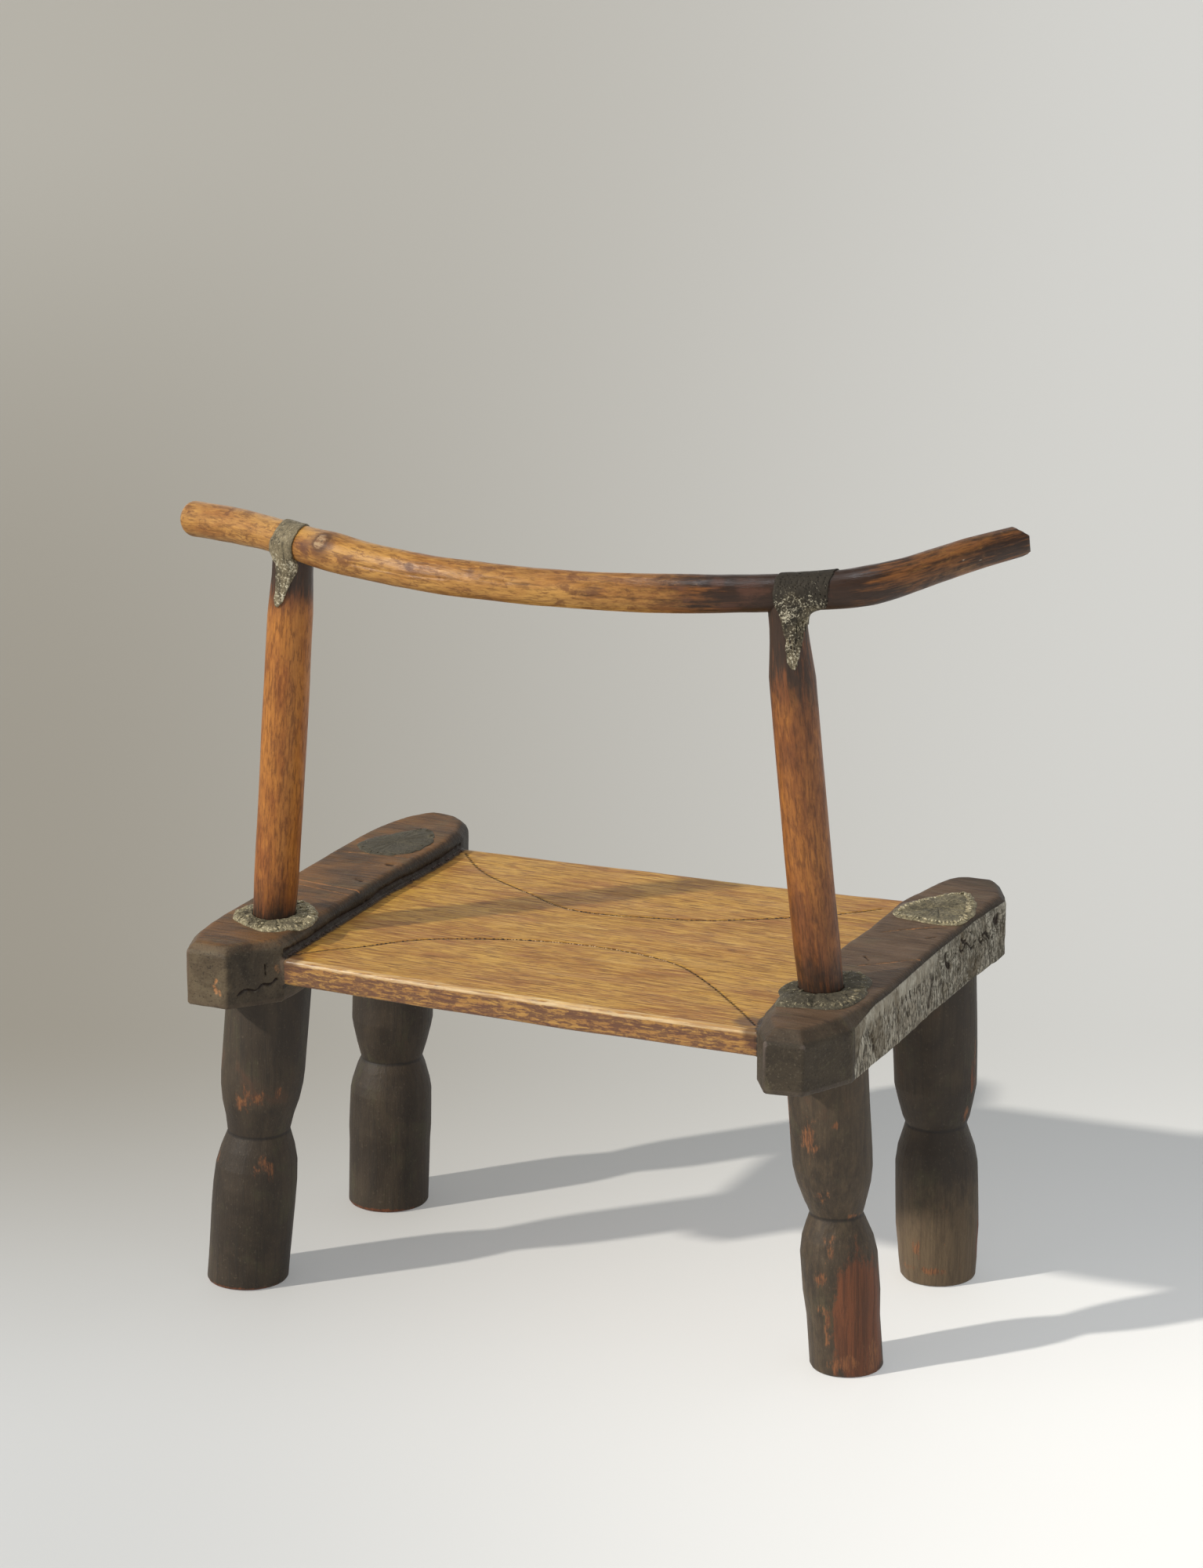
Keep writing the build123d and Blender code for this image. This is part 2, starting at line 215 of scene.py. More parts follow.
# The room's own light: strong from the walls, weak from the ceiling
sky = bpy.data.worlds.new("room_light")
sky.use_nodes = True
glow = sky.node_tree.nodes["Background"]
glow.inputs["Color"].default_value = (1.0, 0.995, 0.985, 1)
way = add_node(sky.node_tree, "ShaderNodeTexCoord", out="Generated")
height = Wire(sky.node_tree, add_node(sky.node_tree, "ShaderNodeSeparateXYZ", None, {0: way}, "Z"))
low_share = 1.0 - height.math("MINIMUM", height.math("ABSOLUTE", height) * 1.35, 1.0)
sky.node_tree.links.new((low_share + 0.16).socket, glow.inputs["Strength"])
bpy.context.scene.world = sky
bpy.context.scene.view_settings.view_transform = "Standard"

lens = bpy.data.cameras.new("camera")
lens.lens = 120
lens.sensor_width = 36
bpy.context.scene.camera = aimed("camera", lens, camera_place, camera_aim)

# ---- seat block ----------------------------------------------------------------------------------
# One log section of a close-grained hardwood, adzed and scraped into a thin golden seat between two
# thick dark rails. The grain runs from side to side, so the rails' outer faces are weathered end grain.
RAIL_TOP, RAIL_FOOT = 294.0, 246.0
SEAT_TOP, SEAT_FOOT = 280.0, 260.0
left_rail_plan = [
    (257, 184), (223, 186), (193, 152.5), (190, 66), (188, -11), (182, -81), (180, -116), (181, -147),
    (187, -171), (192, -179), (202.6, -188), (217.6, -191), (227.6, -190), (234, -182), (242, -169),
    (248, -153), (252.6, -133), (254.3, -107), (258.4, -31), (266.5, 134), (265.5, 155), (260.5, 172),
]
right_rail_plan = [
    (-184, 141), (-192, 176), (-206, 199.5), (-234.5, 197), (-256, 154), (-258.9, 76), (-259, 0),
    (-262, -96), (-266.5, -155), (-261, -170), (-251, -190), (-244, -196), (-224, -196), (-215, -192),
    (-208, -183), (-203, -168), (-199.5, -150), (-196, -131), (-194, -115), (-194, -49), (-191, -9),
    (-186, 85), (-186, 113),
]
seat_plan = [
    (228, 150), (185, 154.5), (88, 161), (0, 164), (-41, 165.5), (-110, 166.5), (-176, 167), (-222, 166),
    (-222, -157), (-180, -157), (-69, -150), (9, -149), (168, -146), (228, -145),
]
leg_axes = {  # each leg's axis on the floor and at the rail top
    "front_left_leg": ((221, -85.5, 0), (216.5, -98.5, 294)),
    "front_right_leg": ((-235, -105, 0), (-226, -104, 294)),
    "rear_left_leg": ((252, 103.5, 0), (225, 100.5, 294)),
    "rear_right_leg": ((-231, 87.5, 0), (-212, 100.4, 294)),
}
MORTISE = 21.3
BLOCK_FRONT, BLOCK_REAR = -195.9, 199.9  # nothing of the block's wear stands out beyond these
BEAD_PITCH, ARC_HALF_WIDTH = 4.2, 1.05  # the tool's bites along the two arcs, and the arcs' width
front_arc = [
    (173, -134), (138, -94), (84, -59), (46, -38), (10, -36), (-25, -42), (-63, -52), (-99, -71),
    (-151, -105), (-176, -130),
]
rear_arc = [
    (195, 148), (176, 126), (147, 100), (126, 79), (93.5, 60), (40, 42), (-14, 37), (-53, 42),
    (-76, 50), (-102, 68), (-129.5, 95), (-163, 132), (-183, 156),
]


def bumps(points, size, seed=0):
    """Smooth random heights between -1 and 1 at points, with bumps of a size along x, y and z."""
    spot = np.asarray(points, float) / np.asarray(size, float) + seed * 31.7
    cell = np.floor(spot).astype(np.int64)
    share = spot - cell
    share = share * share * (3 - 2 * share)
    total = np.zeros(len(spot))
    for corner in itertools.product((0, 1), repeat=3):
        key = (cell + corner) @ np.array([73856093, 19349663, 83492791])
        key = (key ^ (key >> 13)) * 1274126177
        height = ((key ^ (key >> 16)) & 65535) / 32767.5 - 1
        total += height * np.prod(np.where(corner, share, 1 - share), axis=1)
    return total


def plan_distance(points, outline):
    """Distance in plan to an outline, negative inside it."""
    x, y = points[:, 0], points[:, 1]
    nearest = np.full(len(points), np.inf)
    inside = np.zeros(len(points), bool)
    for (ax, ay), (bx, by) in zip(outline, np.roll(outline, -1, axis=0)):
        ex, ey = bx - ax, by - ay
        share = np.clip(((x - ax) * ex + (y - ay) * ey) / (ex * ex + ey * ey), 0, 1)
        nearest = np.minimum(nearest, (x - ax - share * ex) ** 2 + (y - ay - share * ey) ** 2)
        inside ^= ((ay > y) != (by > y)) & (x < ex * (y - ay) / (ey or 1e-9) + ax)
    return np.where(inside, -1, 1) * np.sqrt(nearest)


def inset(outline, depth):
    """The outline moved inwards by a depth."""
    corners = np.asarray(outline, float)
    ahead = np.roll(corners, -1, axis=0) - corners
    area = np.sum(corners[:, 0] * np.roll(corners[:, 1], -1) - corners[:, 1] * np.roll(corners[:, 0], -1))
    inward = np.stack([-ahead[:, 1], ahead[:, 0]], 1) / np.linalg.norm(ahead, axis=1)[:, None]
    inward *= np.sign(area)
    before = np.roll(inward, 1, axis=0)
    facing = 1 + np.sum(inward * before, axis=1)[:, None]
    return corners + (inward + before) / facing * depth


def slab(points, outline, corner, low, high, arris):
    """Distance to a flat slab with rounded upright corners and rounded rims."""
    across = plan_distance(points, inset(outline, corner)) - corner
    up = np.abs(points[:, 2] - (low + high) / 2) - (high - low) / 2
    out = np.maximum(np.stack([across + arris, up + arris]), 0)
    inner = np.minimum(np.maximum(across, up) + arris, 0)
    return np.hypot(*out) + inner - arris, across


def blended(a, b, reach):
    """The nearer of two distances, with a hollow fillet of that reach where they meet."""
    overlap = np.maximum(reach - np.abs(a - b), 0) / reach
    return np.minimum(a, b) - overlap * overlap * reach / 4


def between(foot, head, share):
    """Points on the straight line from a foot to a head, at shares of the way."""
    foot, head = np.array(foot, float), np.array(head, float)
    return foot + np.asarray(share)[:, None] * (head - foot)


def seat_block_field(points):
    """Distance to the carved block."""
    rails = []
    for outline, tail in ((left_rail_plan, 6.5), (right_rail_plan, 10)):
        rail, across = slab(points, outline, corner=1.8, low=RAIL_FOOT, high=RAIL_TOP, arris=1.6)
        chamfer = np.interp(points[:, 1], (-170, -120, 110, 145), (6, 4.5, 4.5, tail))
        slope = (across + points[:, 2] - RAIL_TOP + chamfer) * math.sqrt(0.5)
        rails.append(-blended(-rail, -slope, 1.3))
    seat, _ = slab(points, seat_plan, corner=3, low=SEAT_FOOT, high=SEAT_TOP, arris=3.2)
    block = blended(np.minimum(*rails), seat, 3)
    for foot, head in leg_axes.values():
        spread = points - between(foot, head, points[:, 2] / RAIL_TOP)
        block = np.maximum(block, MORTISE - np.hypot(*spread[:, :2].T))
    return block


def skin(field, *sizes):
    """Points and four-sided faces of the closed surface where a field crosses zero, on a grid's lines."""
    grid = np.stack(np.meshgrid(*sizes, indexing="ij"), -1)
    value = field(grid.reshape(-1, 3)).reshape(grid.shape[:3])
    room = np.array(value.shape) - 1
    total = np.zeros((*room, 3))
    hits = np.zeros(room)
    for axis in range(3):
        for corner in itertools.product((0, 1), repeat=3):
            if corner[axis]:
                continue
            other = [c + (k == axis) for k, c in enumerate(corner)]
            a = value[tuple(slice(c, c + n) for c, n in zip(corner, room))]
            b = value[tuple(slice(c, c + n) for c, n in zip(other, room))]
            cross = (a < 0) != (b < 0)
            spot = np.broadcast_to(np.array(corner, float), (*room, 3))[cross].copy()
            spot[:, axis] = a[cross] / (a[cross] - b[cross])
            total[cross] += spot
            hits += cross
    filled = hits > 0
    number = np.full(room, -1)
    number[filled] = np.arange(filled.sum())
    spots = np.argwhere(filled) + total[filled] / hits[filled][:, None]
    points = np.stack([np.interp(spots[:, k], np.arange(len(sizes[k])), sizes[k]) for k in range(3)], 1)
    faces = []
    for axis in range(3):
        u, v = np.eye(3, dtype=int)[(axis + 1) % 3], np.eye(3, dtype=int)[(axis + 2) % 3]
        a = np.moveaxis(value, axis, 0)[:-1]
        b = np.moveaxis(value, axis, 0)[1:]
        for leaving, turn in (((a < 0) & (b >= 0), 1), ((a >= 0) & (b < 0), -1)):
            spots = np.argwhere(np.moveaxis(leaving, 0, axis))
            ring = [spots - u - v, spots - v, spots, spots - u][::turn]
            faces.append(np.stack([number[tuple(r.T)] for r in ring], 1))
    return points, np.concatenate(faces)


def fallen(field, points, reach, most):
    """The points moved once down a field's slope towards its surface, by so much at most."""
    height = field(points)
    slope = np.stack([field(points + reach * axis) - height for axis in np.eye(3)], 1) / reach
    steep = np.maximum(np.sum(slope * slope, axis=1), 0.3)[:, None]
    return points - np.clip(height[:, None] * slope / steep, -most, most)


def settle(field, points, faces, rounds=2, reach=0.25):
    """Evens the points out a little and moves them onto the field's surface."""
    for _ in range(rounds):
        total = np.zeros_like(points)
        count = np.zeros(len(points))
        for a, b in ((0, 1), (1, 2), (2, 3), (3, 0)):
            for here, there in ((a, b), (b, a)):
                np.add.at(total, faces[:, here], points[faces[:, there]])
                np.add.at(count, faces[:, here], 1)
        points = points * 0.5 + total / count[:, None] * 0.5
        for _ in range(2):
            points = fallen(field, points, reach, 2)
    return points


def solid(name, points, faces, finish, **numbers):
    """A mesh object from points in millimetres, its faces, its finish and numbers on its points."""
    mesh = bpy.data.meshes.new(name)
    mesh.from_pydata((points * MM).tolist(), [], [[int(k) for k in face] for face in faces])
    mesh.validate()
    mesh.shade_smooth()
    mesh.materials.append(finish)
    for key, values in numbers.items():
        values = np.asarray(values, np.float32)
        kind, slot = ("FLOAT_VECTOR", "vector") if values.ndim == 2 else ("FLOAT", "value")
        mesh.attributes.new(key, kind, "POINT").data.foreach_set(slot, values.ravel())
    made = bpy.data.objects.new(name, mesh)
    bpy.context.scene.collection.objects.link(made)
    return made


def stand_for(node, slot, mesh, finish, sharp=None):
    """Builds a piece from its points, faces and numbers, and puts it in place of its plain solid."""
    points, faces, numbers = mesh
    piece = solid(f"{node}_{slot.split('_')[1]}", points, faces, finish, **numbers)
    if sharp:
        piece.data.set_sharp_from_angle(angle=math.radians(sharp))
    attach(piece, "root")
    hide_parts(node)


def finer(points, faces, chosen, cuts=2):
    """Divides the chosen faces, and gives the new points and faces."""
    mesh = bpy.data.meshes.new("finer")
    mesh.from_pydata(points.tolist(), [], faces.tolist())
    work = bmesh.new()
    work.from_mesh(mesh)
    work.faces.ensure_lookup_table()
    edges = {edge for k in np.flatnonzero(chosen) for edge in work.faces[k].edges}
    bmesh.ops.subdivide_edges(work, edges=list(edges), cuts=cuts, use_grid_fill=True)
    bmesh.ops.triangulate(work, faces=[face for face in work.faces if len(face.verts) > 4])
    work.normal_update()
    made = np.array([v.co for v in work.verts])
    normals = np.array([v.normal for v in work.verts])
    rings = [[v.index for v in face.verts] for face in work.faces]
    work.free()
    bpy.data.meshes.remove(mesh)
    return made, normals, rings


def path_distance(points, path):
    """Distance from points to a path, and how far along the path the nearest spot lies."""
    path = np.asarray(path, float)
    nearest = np.full(len(points), np.inf)
    along = np.zeros(len(points))
    start = 0.0
    for a, b in zip(path[:-1], path[1:]):
        run = b - a
        length = np.linalg.norm(run)
        share = np.clip((points - a) @ run / length**2, 0, 1)
        gap = np.linalg.norm(points - a - share[:, None] * run, axis=1)
        closer = gap < nearest
        nearest = np.where(closer, gap, nearest)
        along = np.where(closer, start + share * length, along)
        start += length
    return nearest, along


def distance_along(path):
    """How far along a path each of its points lies."""
    return np.concatenate([[0], np.cumsum(np.linalg.norm(np.diff(path, axis=0), axis=1))])


def smooth_path(corners, step=4.0):
    """Evenly spaced points on the natural cubic spline through corners."""
    corners = np.asarray(corners, float)
    chord = distance_along(corners)
    gap = np.diff(chord)[:, None]
    size = len(corners)
    system = np.eye(size)
    right = np.zeros_like(corners)
    for k in range(1, size - 1):
        system[k, k - 1 : k + 2] = gap[k - 1, 0], 2 * (gap[k - 1, 0] + gap[k, 0]), gap[k, 0]
        right[k] = 6 * ((corners[k + 1] - corners[k]) / gap[k] - (corners[k] - corners[k - 1]) / gap[k - 1])
    bend = np.linalg.solve(system, right)
    fine = np.linspace(0, chord[-1], 4000)
    k = np.clip(np.searchsorted(chord, fine) - 1, 0, size - 2)
    a = ((chord[k + 1] - fine) / gap[k, 0])[:, None]
    b = 1 - a
    curve = a * corners[k] + b * corners[k + 1]
    curve += ((a**3 - a) * bend[k] + (b**3 - b) * bend[k + 1]) * gap[k] ** 2 / 6
    length = distance_along(curve)
    even = np.linspace(0, length[-1], max(2, round(length[-1] / step) + 1))
    return np.stack([np.interp(even, length, curve[:, axis]) for axis in range(curve.shape[1])], 1)


def on_seat(path):
    """Plan points as points on the seat's top."""
    return [(x, y, SEAT_TOP) for x, y in path]


arc_paths = [smooth_path(on_seat(front_arc)), smooth_path(on_seat(rear_arc))]
block_marks = [  # path, half width, depth, and how dark or (below zero) how pale the mark is
    # the split in the left tail, and the ledge that the chisel left along the inside of the left rail
    ([(217, 179, 256), (211, 173, 259.5), (207, 168, 258), (204, 165, 262), (199.5, 161, 261),
      (196, 157, 264.5)], 0.8, 3.2, 1.0),
    ([(202, 163, 277), (202, 163, 269)], 0.6, 2.0, 0.8),
    ([(193, 150, 285), (191, 96, 283.5), (190.5, 66, 284.5), (189, 20, 283), (188.5, -11, 285),
      (183, -81, 283.5), (181, -140, 285)], 1.2, 1.5, 1.0),
    # scratches and nicks on the rails' tops
    ([(248, 14, 294), (218, 18.5, 294), (190, 22, 294)], 0.7, 0.4, -0.8),
    ([(243, 25, 294), (215, 30, 294), (194, 35, 294)], 0.6, 0.35, -0.6),
    ([(255, -60, 294), (225, -66, 294), (192, -68, 294)], 0.6, 0.4, -0.5),
    ([(251, -47, 294), (209, -43, 294)], 0.5, 0.4, -0.35),
    ([(196, -47, 294), (199, -46, 294)], 2.2, 1.5, 1.0),
    ([(201, -1, 294), (207, -4, 294)], 1.6, 0.9, 0.7),
    ([(-209, -37, 294), (-232, -58, 294), (-255, -76, 294)], 0.6, 0.4, -0.5),
    ([(-219, 41, 294), (-240, 24, 294), (-257, 9, 294)], 0.6, 0.4, -0.5),
    ([(-216, 20, 294), (-222, 27, 294)], 0.9, 1.2, 1.0),
    ([(-244, -36, 294), (-249, -42, 294)], 0.9, 1.0, 1.0),
    ([(-220, -48, 294), (-236, -58, 294), (-250, -66, 294)], 0.7, 0.7, 0.7),
    # holes, fissures and small knots in the right rail's end grain
    ([(-257, 113, 252), (-257, 115, 266)], 1.1, 2.2, 1.0),
    ([(-256, 122, 266), (-256, 124, 276)], 1.0, 2.0, 1.0),
    ([(-266, -134, 281), (-266, -138, 279), (-266, -141, 281)], 4.0, 2.4, 0.9),
    ([(-264, -70, 285), (-264, -77, 281), (-264, -80, 284)], 2.0, 2.0, 1.0),
    ([(-264, -83, 287), (-264, -90, 284)], 1.2, 1.4, 0.9),
    ([(-262, -36, 282), (-262, -38, 276), (-262, -44, 272)], 2.6, 1.8, 1.0),
    ([(-263, -64, 281), (-264, -72, 275), (-264, -78, 279), (-264, -92, 271), (-265, -98, 275)],
     1.2, 1.6, 0.9),
    ([(-265, -104, 277), (-265, -110, 270), (-265, -117, 276), (-266, -126, 268), (-266, -134, 272)],
     1.4, 1.6, 0.9),
    ([(-257, 116, 273), (-257, 118, 271)], 2.6, 1.0, 0.6),
    ([(-257, 111, 259), (-257, 113, 257)], 3.0, 1.2, 0.7),
    ([(-262, -50, 274), (-263, -58, 278)], 1.1, 1.4, 0.9),
    ([(-264, -93, 247), (-264, -96, 254), (-264, -99, 262)], 0.8, 2.0, 1.0),
    ([(-264, -62, 264), (-264, -66, 258)], 1.2, 1.2, 0.6),
    ([(-261, -10, 273), (-261, -6, 264), (-261, -2, 254)], 4.6, 1.2, 0.6),
    ([(-262, -26, 266), (-262, -30, 257)], 3.2, 1.0, 0.5),
    ([(-260, 62, 266), (-260, 66, 274)], 0.8, 1.0, 0.8),
    ([(-260, 44, 258), (-260, 47, 266)], 0.7, 0.9, 0.7),
    ([(-260, 78, 262), (-260, 80, 268)], 0.7, 0.9, 0.7),
    ([(-265, -120, 262), (-265, -128, 256)], 0.9, 1.2, 0.7),
    ([(-265, -112, 275), (-265, -119, 270)], 1.2, 1.2, 0.6),
    # chips on the left tail that show the bare wood
    ([(231.5, 186, 268), (233, 186, 265.5)], 1.3, 0.6, -0.7),
    ([(233.5, 186, 263), (232.5, 186, 258)], 1.6, 0.7, -0.6),
    ([(229.5, 186, 260), (229, 186, 257)], 0.9, 0.4, -0.5),
    ([(196, 156.5, 274), (195, 155.5, 270)], 2.0, 0.4, -0.3),
]
for y in range(12, 118, 9):  # a row of short upright pits along the end grain
    x, z = -259 + 0.03 * y, 271 + 0.07 * y
    block_marks.append(([(x, y, z), (x, y + 1, z + 5)], 0.9, 1.2, 0.95))


def laid_on(field, path):
    """The path's points moved onto a field's surface."""
    points = np.asarray(path, float)
    for _ in range(4):
        points = fallen(field, points, 0.3, 1000)
    return points


def fall(gap, reach):
    """1 where a gap is nothing, falling off smoothly about a reach away."""
    return np.exp(-((gap / reach) ** 2))


def seat_block_mesh():
    """The carved block, with its marks cut in, and the numbers that its finish reads."""
    marks = [(laid_on(seat_block_field, smooth_path(path, 3)), *mark) for path, *mark in block_marks]
    # The grid's lines lie closer on the rails and at the rear, where the carving is sharper.
    outer = np.arange(176, 273, 2.4)
    across = np.concatenate([-outer[::-1], np.linspace(-170.5, 170.5, 64), outer])
    along = np.concatenate([np.arange(-200, 136, 2.5), np.arange(136, 205, 1.5)])
    points, faces = skin(seat_block_field, across, along, np.arange(242.3, 298, 2.0))
    points = settle(seat_block_field, points, faces)
    middle = points[faces].mean(axis=1)
    chosen = np.zeros(len(faces), bool)
    for path in arc_paths:
        chosen |= (path_distance(middle, path)[0] < 5) & (middle[:, 2] > SEAT_TOP - 4)
    for path, width, _, _ in marks:
        chosen |= path_distance(middle, path)[0] < 2.4 + width
    points, normals, faces = finer(points, faces, chosen)
    at_left, at_right = (plan_distance(points, plan) for plan in (left_rail_plan, right_rail_plan))
    rail = np.clip(np.max([-at_left, -at_right, points[:, 2] - SEAT_TOP - 3.5], axis=0) / 5 + 0.9, 0, 1)
    edge = np.clip((seat_block_field(points - 5 * normals) + 5) / 0.9, 0, 1)
    # how enclosed each point is; the finish paints dirt and shade darker there
    hollow = np.clip((4 - seat_block_field(points + 4 * normals)) / 1.5, 0, 1)
    # Tool marks: long shallow hollows along the grain on the seat, coarser ones on the rails.
    lift = 0.30 * bumps(points, (60, 22, 30), 1) + 0.14 * bumps(points, (26, 7, 9), 2)
    coarse = 0.5 * bumps(points, (26, 34, 26), 3) + 0.22 * bumps(points, (9, 12, 9), 4)
    end = np.clip(np.abs(normals[:, 0]) * 5 - 3.6, 0, 1) * (np.abs(points[:, 0]) > 240)
    end = end * np.where(points[:, 0] < 0, 1, 0.4) * np.clip((152 - points[:, 1]) / 5, 0, 1)
    relief = 0.45 * bumps(points, (30, 2.6, 6), 5) + 0.35 * bumps(points, (30, 6, 7), 6)
    height = lift * (1 - rail) + rail * (coarse + end * relief)
    dark = np.zeros(len(points))
    pale = np.zeros(len(points))
    for path in arc_paths:
        gap, along = path_distance(points, path)
        strong = np.clip(0.65 + 0.6 * bumps(points, (70, 70, 70), 8), 0, 1)
        beads = 0.70 + 0.45 * strong * np.sin(along * 2 * math.pi / BEAD_PITCH)
        cut = fall(gap, ARC_HALF_WIDTH) * (points[:, 2] < SEAT_TOP + 2)
        height = height - beads * cut
        dark = np.maximum(dark, cut * (0.35 + 0.8 * beads))
    for path, width, depth, tone in marks:
        gap, _ = path_distance(points, path)
        ragged = gap + 0.8 * min(width, 1.5) * bumps(points, (4, 4, 4), 7)
        cut = fall(ragged, width)
        height = height - depth * cut
        dark = np.maximum(dark, cut * tone)
        pale = np.maximum(pale, -cut * tone)
    numbers = {"rail": rail, "edge": edge, "hollow": hollow, "end": end, "dark": dark, "pale": pale}
    numbers["up"] = np.clip(normals[:, 2] * 3 - 1.9, 0, 1)
    # a dark band on the seat beside both rails, partly stain and partly painted shade from the rails, and
    # dark stains in the rear corners
    numbers["stain"] = 0.75 * np.clip(1 - np.minimum(at_left, at_right) / 16, 0, 1)
    for centre, reach in (((-176, 150, 280), 13), ((-186, 168, 278), 10), ((189, 149, 280), 12)):
        away = np.linalg.norm(points - centre, axis=1)
        numbers["stain"] = np.maximum(numbers["stain"], 1.3 * fall(away, reach))
    points = points + normals * height[:, None]
    points[:, 1] = np.clip(points[:, 1], BLOCK_FRONT, BLOCK_REAR)
    return points, faces, numbers


def carved_wood():
    """Golden satin seat between smoked rails: worn arrises with painted highlights, and dirt and painted
    shade in corners.
    """
    finish = Finish("carved_block", Specular_IOR_Level=0.2)
    rail, edge, hollow, end = finish.stored("rail", "edge", "hollow", "end")
    dark, pale, up, stain = finish.stored("dark", "pale", "up", "stain")
    x, y, z = finish.axes(finish.place())
    blot = finish.noise((80, 150, 190), 6, 0.75, 0.8)
    rail = finish.step(rail + (blot - 0.5) * 0.5, 0.40, 0.60)
    # The seat: soft red-brown clouds, and short dark and pale fibres along the grain
    cloud = finish.noise((11, 26, 26), 4, 0.6, 0.5)
    blush = finish.noise((24, 58, 58), 5, 0.7, 1.0)
    streak = finish.noise((20, 430, 430), 4, 0.65, 0.1)
    fibre = finish.noise((60, 640, 640), 3, 0.6, 0.1)
    flame = finish.noise((34, 540, 540), 3, 0.6, 0.1)
    gold = finish.layered(
        (0.475, 0.258, 0.044),
        (cloud, 0.34, 0.68, 1, (0.335, 0.148, 0.030)),
        (blush, 0.50, 0.64, 0.6, (0.290, 0.112, 0.030)),
        (blush, 0.46, 0.36, 0.35, (0.55, 0.33, 0.075)),
        (streak, 0.49, 0.58, 0.50, (0.200, 0.082, 0.018)),
        (flame, 0.52, 0.61, 0.55, (0.62, 0.37, 0.085)),
        (fibre, 0.52, 0.60, 0.7, (0.150, 0.060, 0.015)),
    )
    # Its rear edge: mottled with old dark polish, and pale along the arris: rubbed bare, and a painted
    # highlight
    side = finish.step(up, 0.65, 0.15)
    flake = finish.noise((110, 300, 420), 5, 0.75, 0.5)
    crust = flake * 0.6 + blot * 0.4 + (streak - 0.5) * 0.3
    rear_arris = finish.step(y, 0.140, 0.150) * finish.step(z, 0.2725, 0.2755)
    # pale worn wood, brightened into a painted highlight along the rear arris
    rubbed = finish.layered((0.74, 0.57, 0.33), (streak, 0.35, 0.6, 1, (0.46, 0.28, 0.12)))
    gold = finish.layered(
        finish.mix(side * 0.45, gold, (0.27, 0.150, 0.078)),
        (crust, 0.44, 0.54, side * 0.8, (0.095, 0.045, 0.036)),
        (edge + (blot - 0.5) * 0.8 + (streak - 0.5) * 0.6, 0.55, 0.95, rear_arris * 0.66, rubbed),
        # the band beside the rails, stain and painted shade together, and the corner stains
        (stain + (blot - 0.5) * 0.8, 0.3, 0.9, 0.75, (0.085, 0.042, 0.025)),
    )
    # The rails: smoked nearly black on their sides, brown on top, rubbed smooth on the arrises, with a
    # painted sheen
    patch = finish.noise((16, 26, 20), 5, 0.65, 0.6)
    bloom = finish.noise((30, 50, 40), 5, 0.7, 0.5)
    speck = finish.noise((560, 560, 560), 2, 0.6)
    hair = finish.noise((40, 420, 420), 4, 0.7, 0.1)
    at_left = finish.step(x, -0.05, 0.05)
    top = finish.layered(
        (0.074, 0.043, 0.023),
        (patch, 0.32, 0.66, 1, finish.mix(at_left, (0.118, 0.072, 0.042), (0.175, 0.082, 0.028))),
        (bloom, 0.52, 0.66, 0.5, (0.102, 0.076, 0.040)),
        (hair, 0.50, 0.62, 0.6, (0.040, 0.026, 0.017)),
        (hair, 0.44, 0.34, 0.4, finish.mix(at_left, (0.155, 0.105, 0.068), (0.205, 0.125, 0.060))),
    )
    # painted light and shade on the left tail: its end facet, which faces the sun, painted paler
    tail_facet = finish.step(y, 0.150, 0.165) * finish.step(x + (bloom - 0.5) * 0.02, 0.219, 0.226)
    flank = finish.layered(
        (0.030, 0.023, 0.016),
        (patch, 0.36, 0.62, 1, finish.mix(at_left, (0.052, 0.040, 0.026), (0.098, 0.074, 0.047))),
        (bloom, 0.54, 0.66, 0.5, (0.092, 0.080, 0.046)),
        (y, 0.14, 0.05, (1 - end) * 0.8, (0.020, 0.015, 0.010)),
        # painted shade on the left tail's bevel, which faces away from the sun
        (y, 0.150, 0.165, at_left * (1 - tail_facet) * 0.5, (0.034, 0.026, 0.018)),
    )
    painted_sunlit_facet = finish.layered((0.088, 0.062, 0.036), (bloom, 0.4, 0.6, 1, (0.145, 0.108, 0.064)))
    flank = finish.layered(
        finish.mix(tail_facet * 0.65, flank, painted_sunlit_facet),
        (speck, 0.60, 0.68, 0.35, (0.13, 0.108, 0.074)),
        (speck, 0.40, 0.33, 0.6, (0.018, 0.014, 0.010)),
    )
    # painted sheen: the sky's reflection painted as a paler grey band along the smooth arrises, fainter low
    # down
    upper = finish.step(z, 0.262, 0.272) * 0.7 + 0.3
    worn = finish.step(edge + (patch - 0.5) * 0.6, 0.60, 0.92) * (1 - end) * upper
    sheen = finish.mix(at_left, (0.108, 0.083, 0.070), (0.106, 0.070, 0.047))
    smoked = finish.mix(worn * 0.75, finish.mix(up, flank, top), sheen)
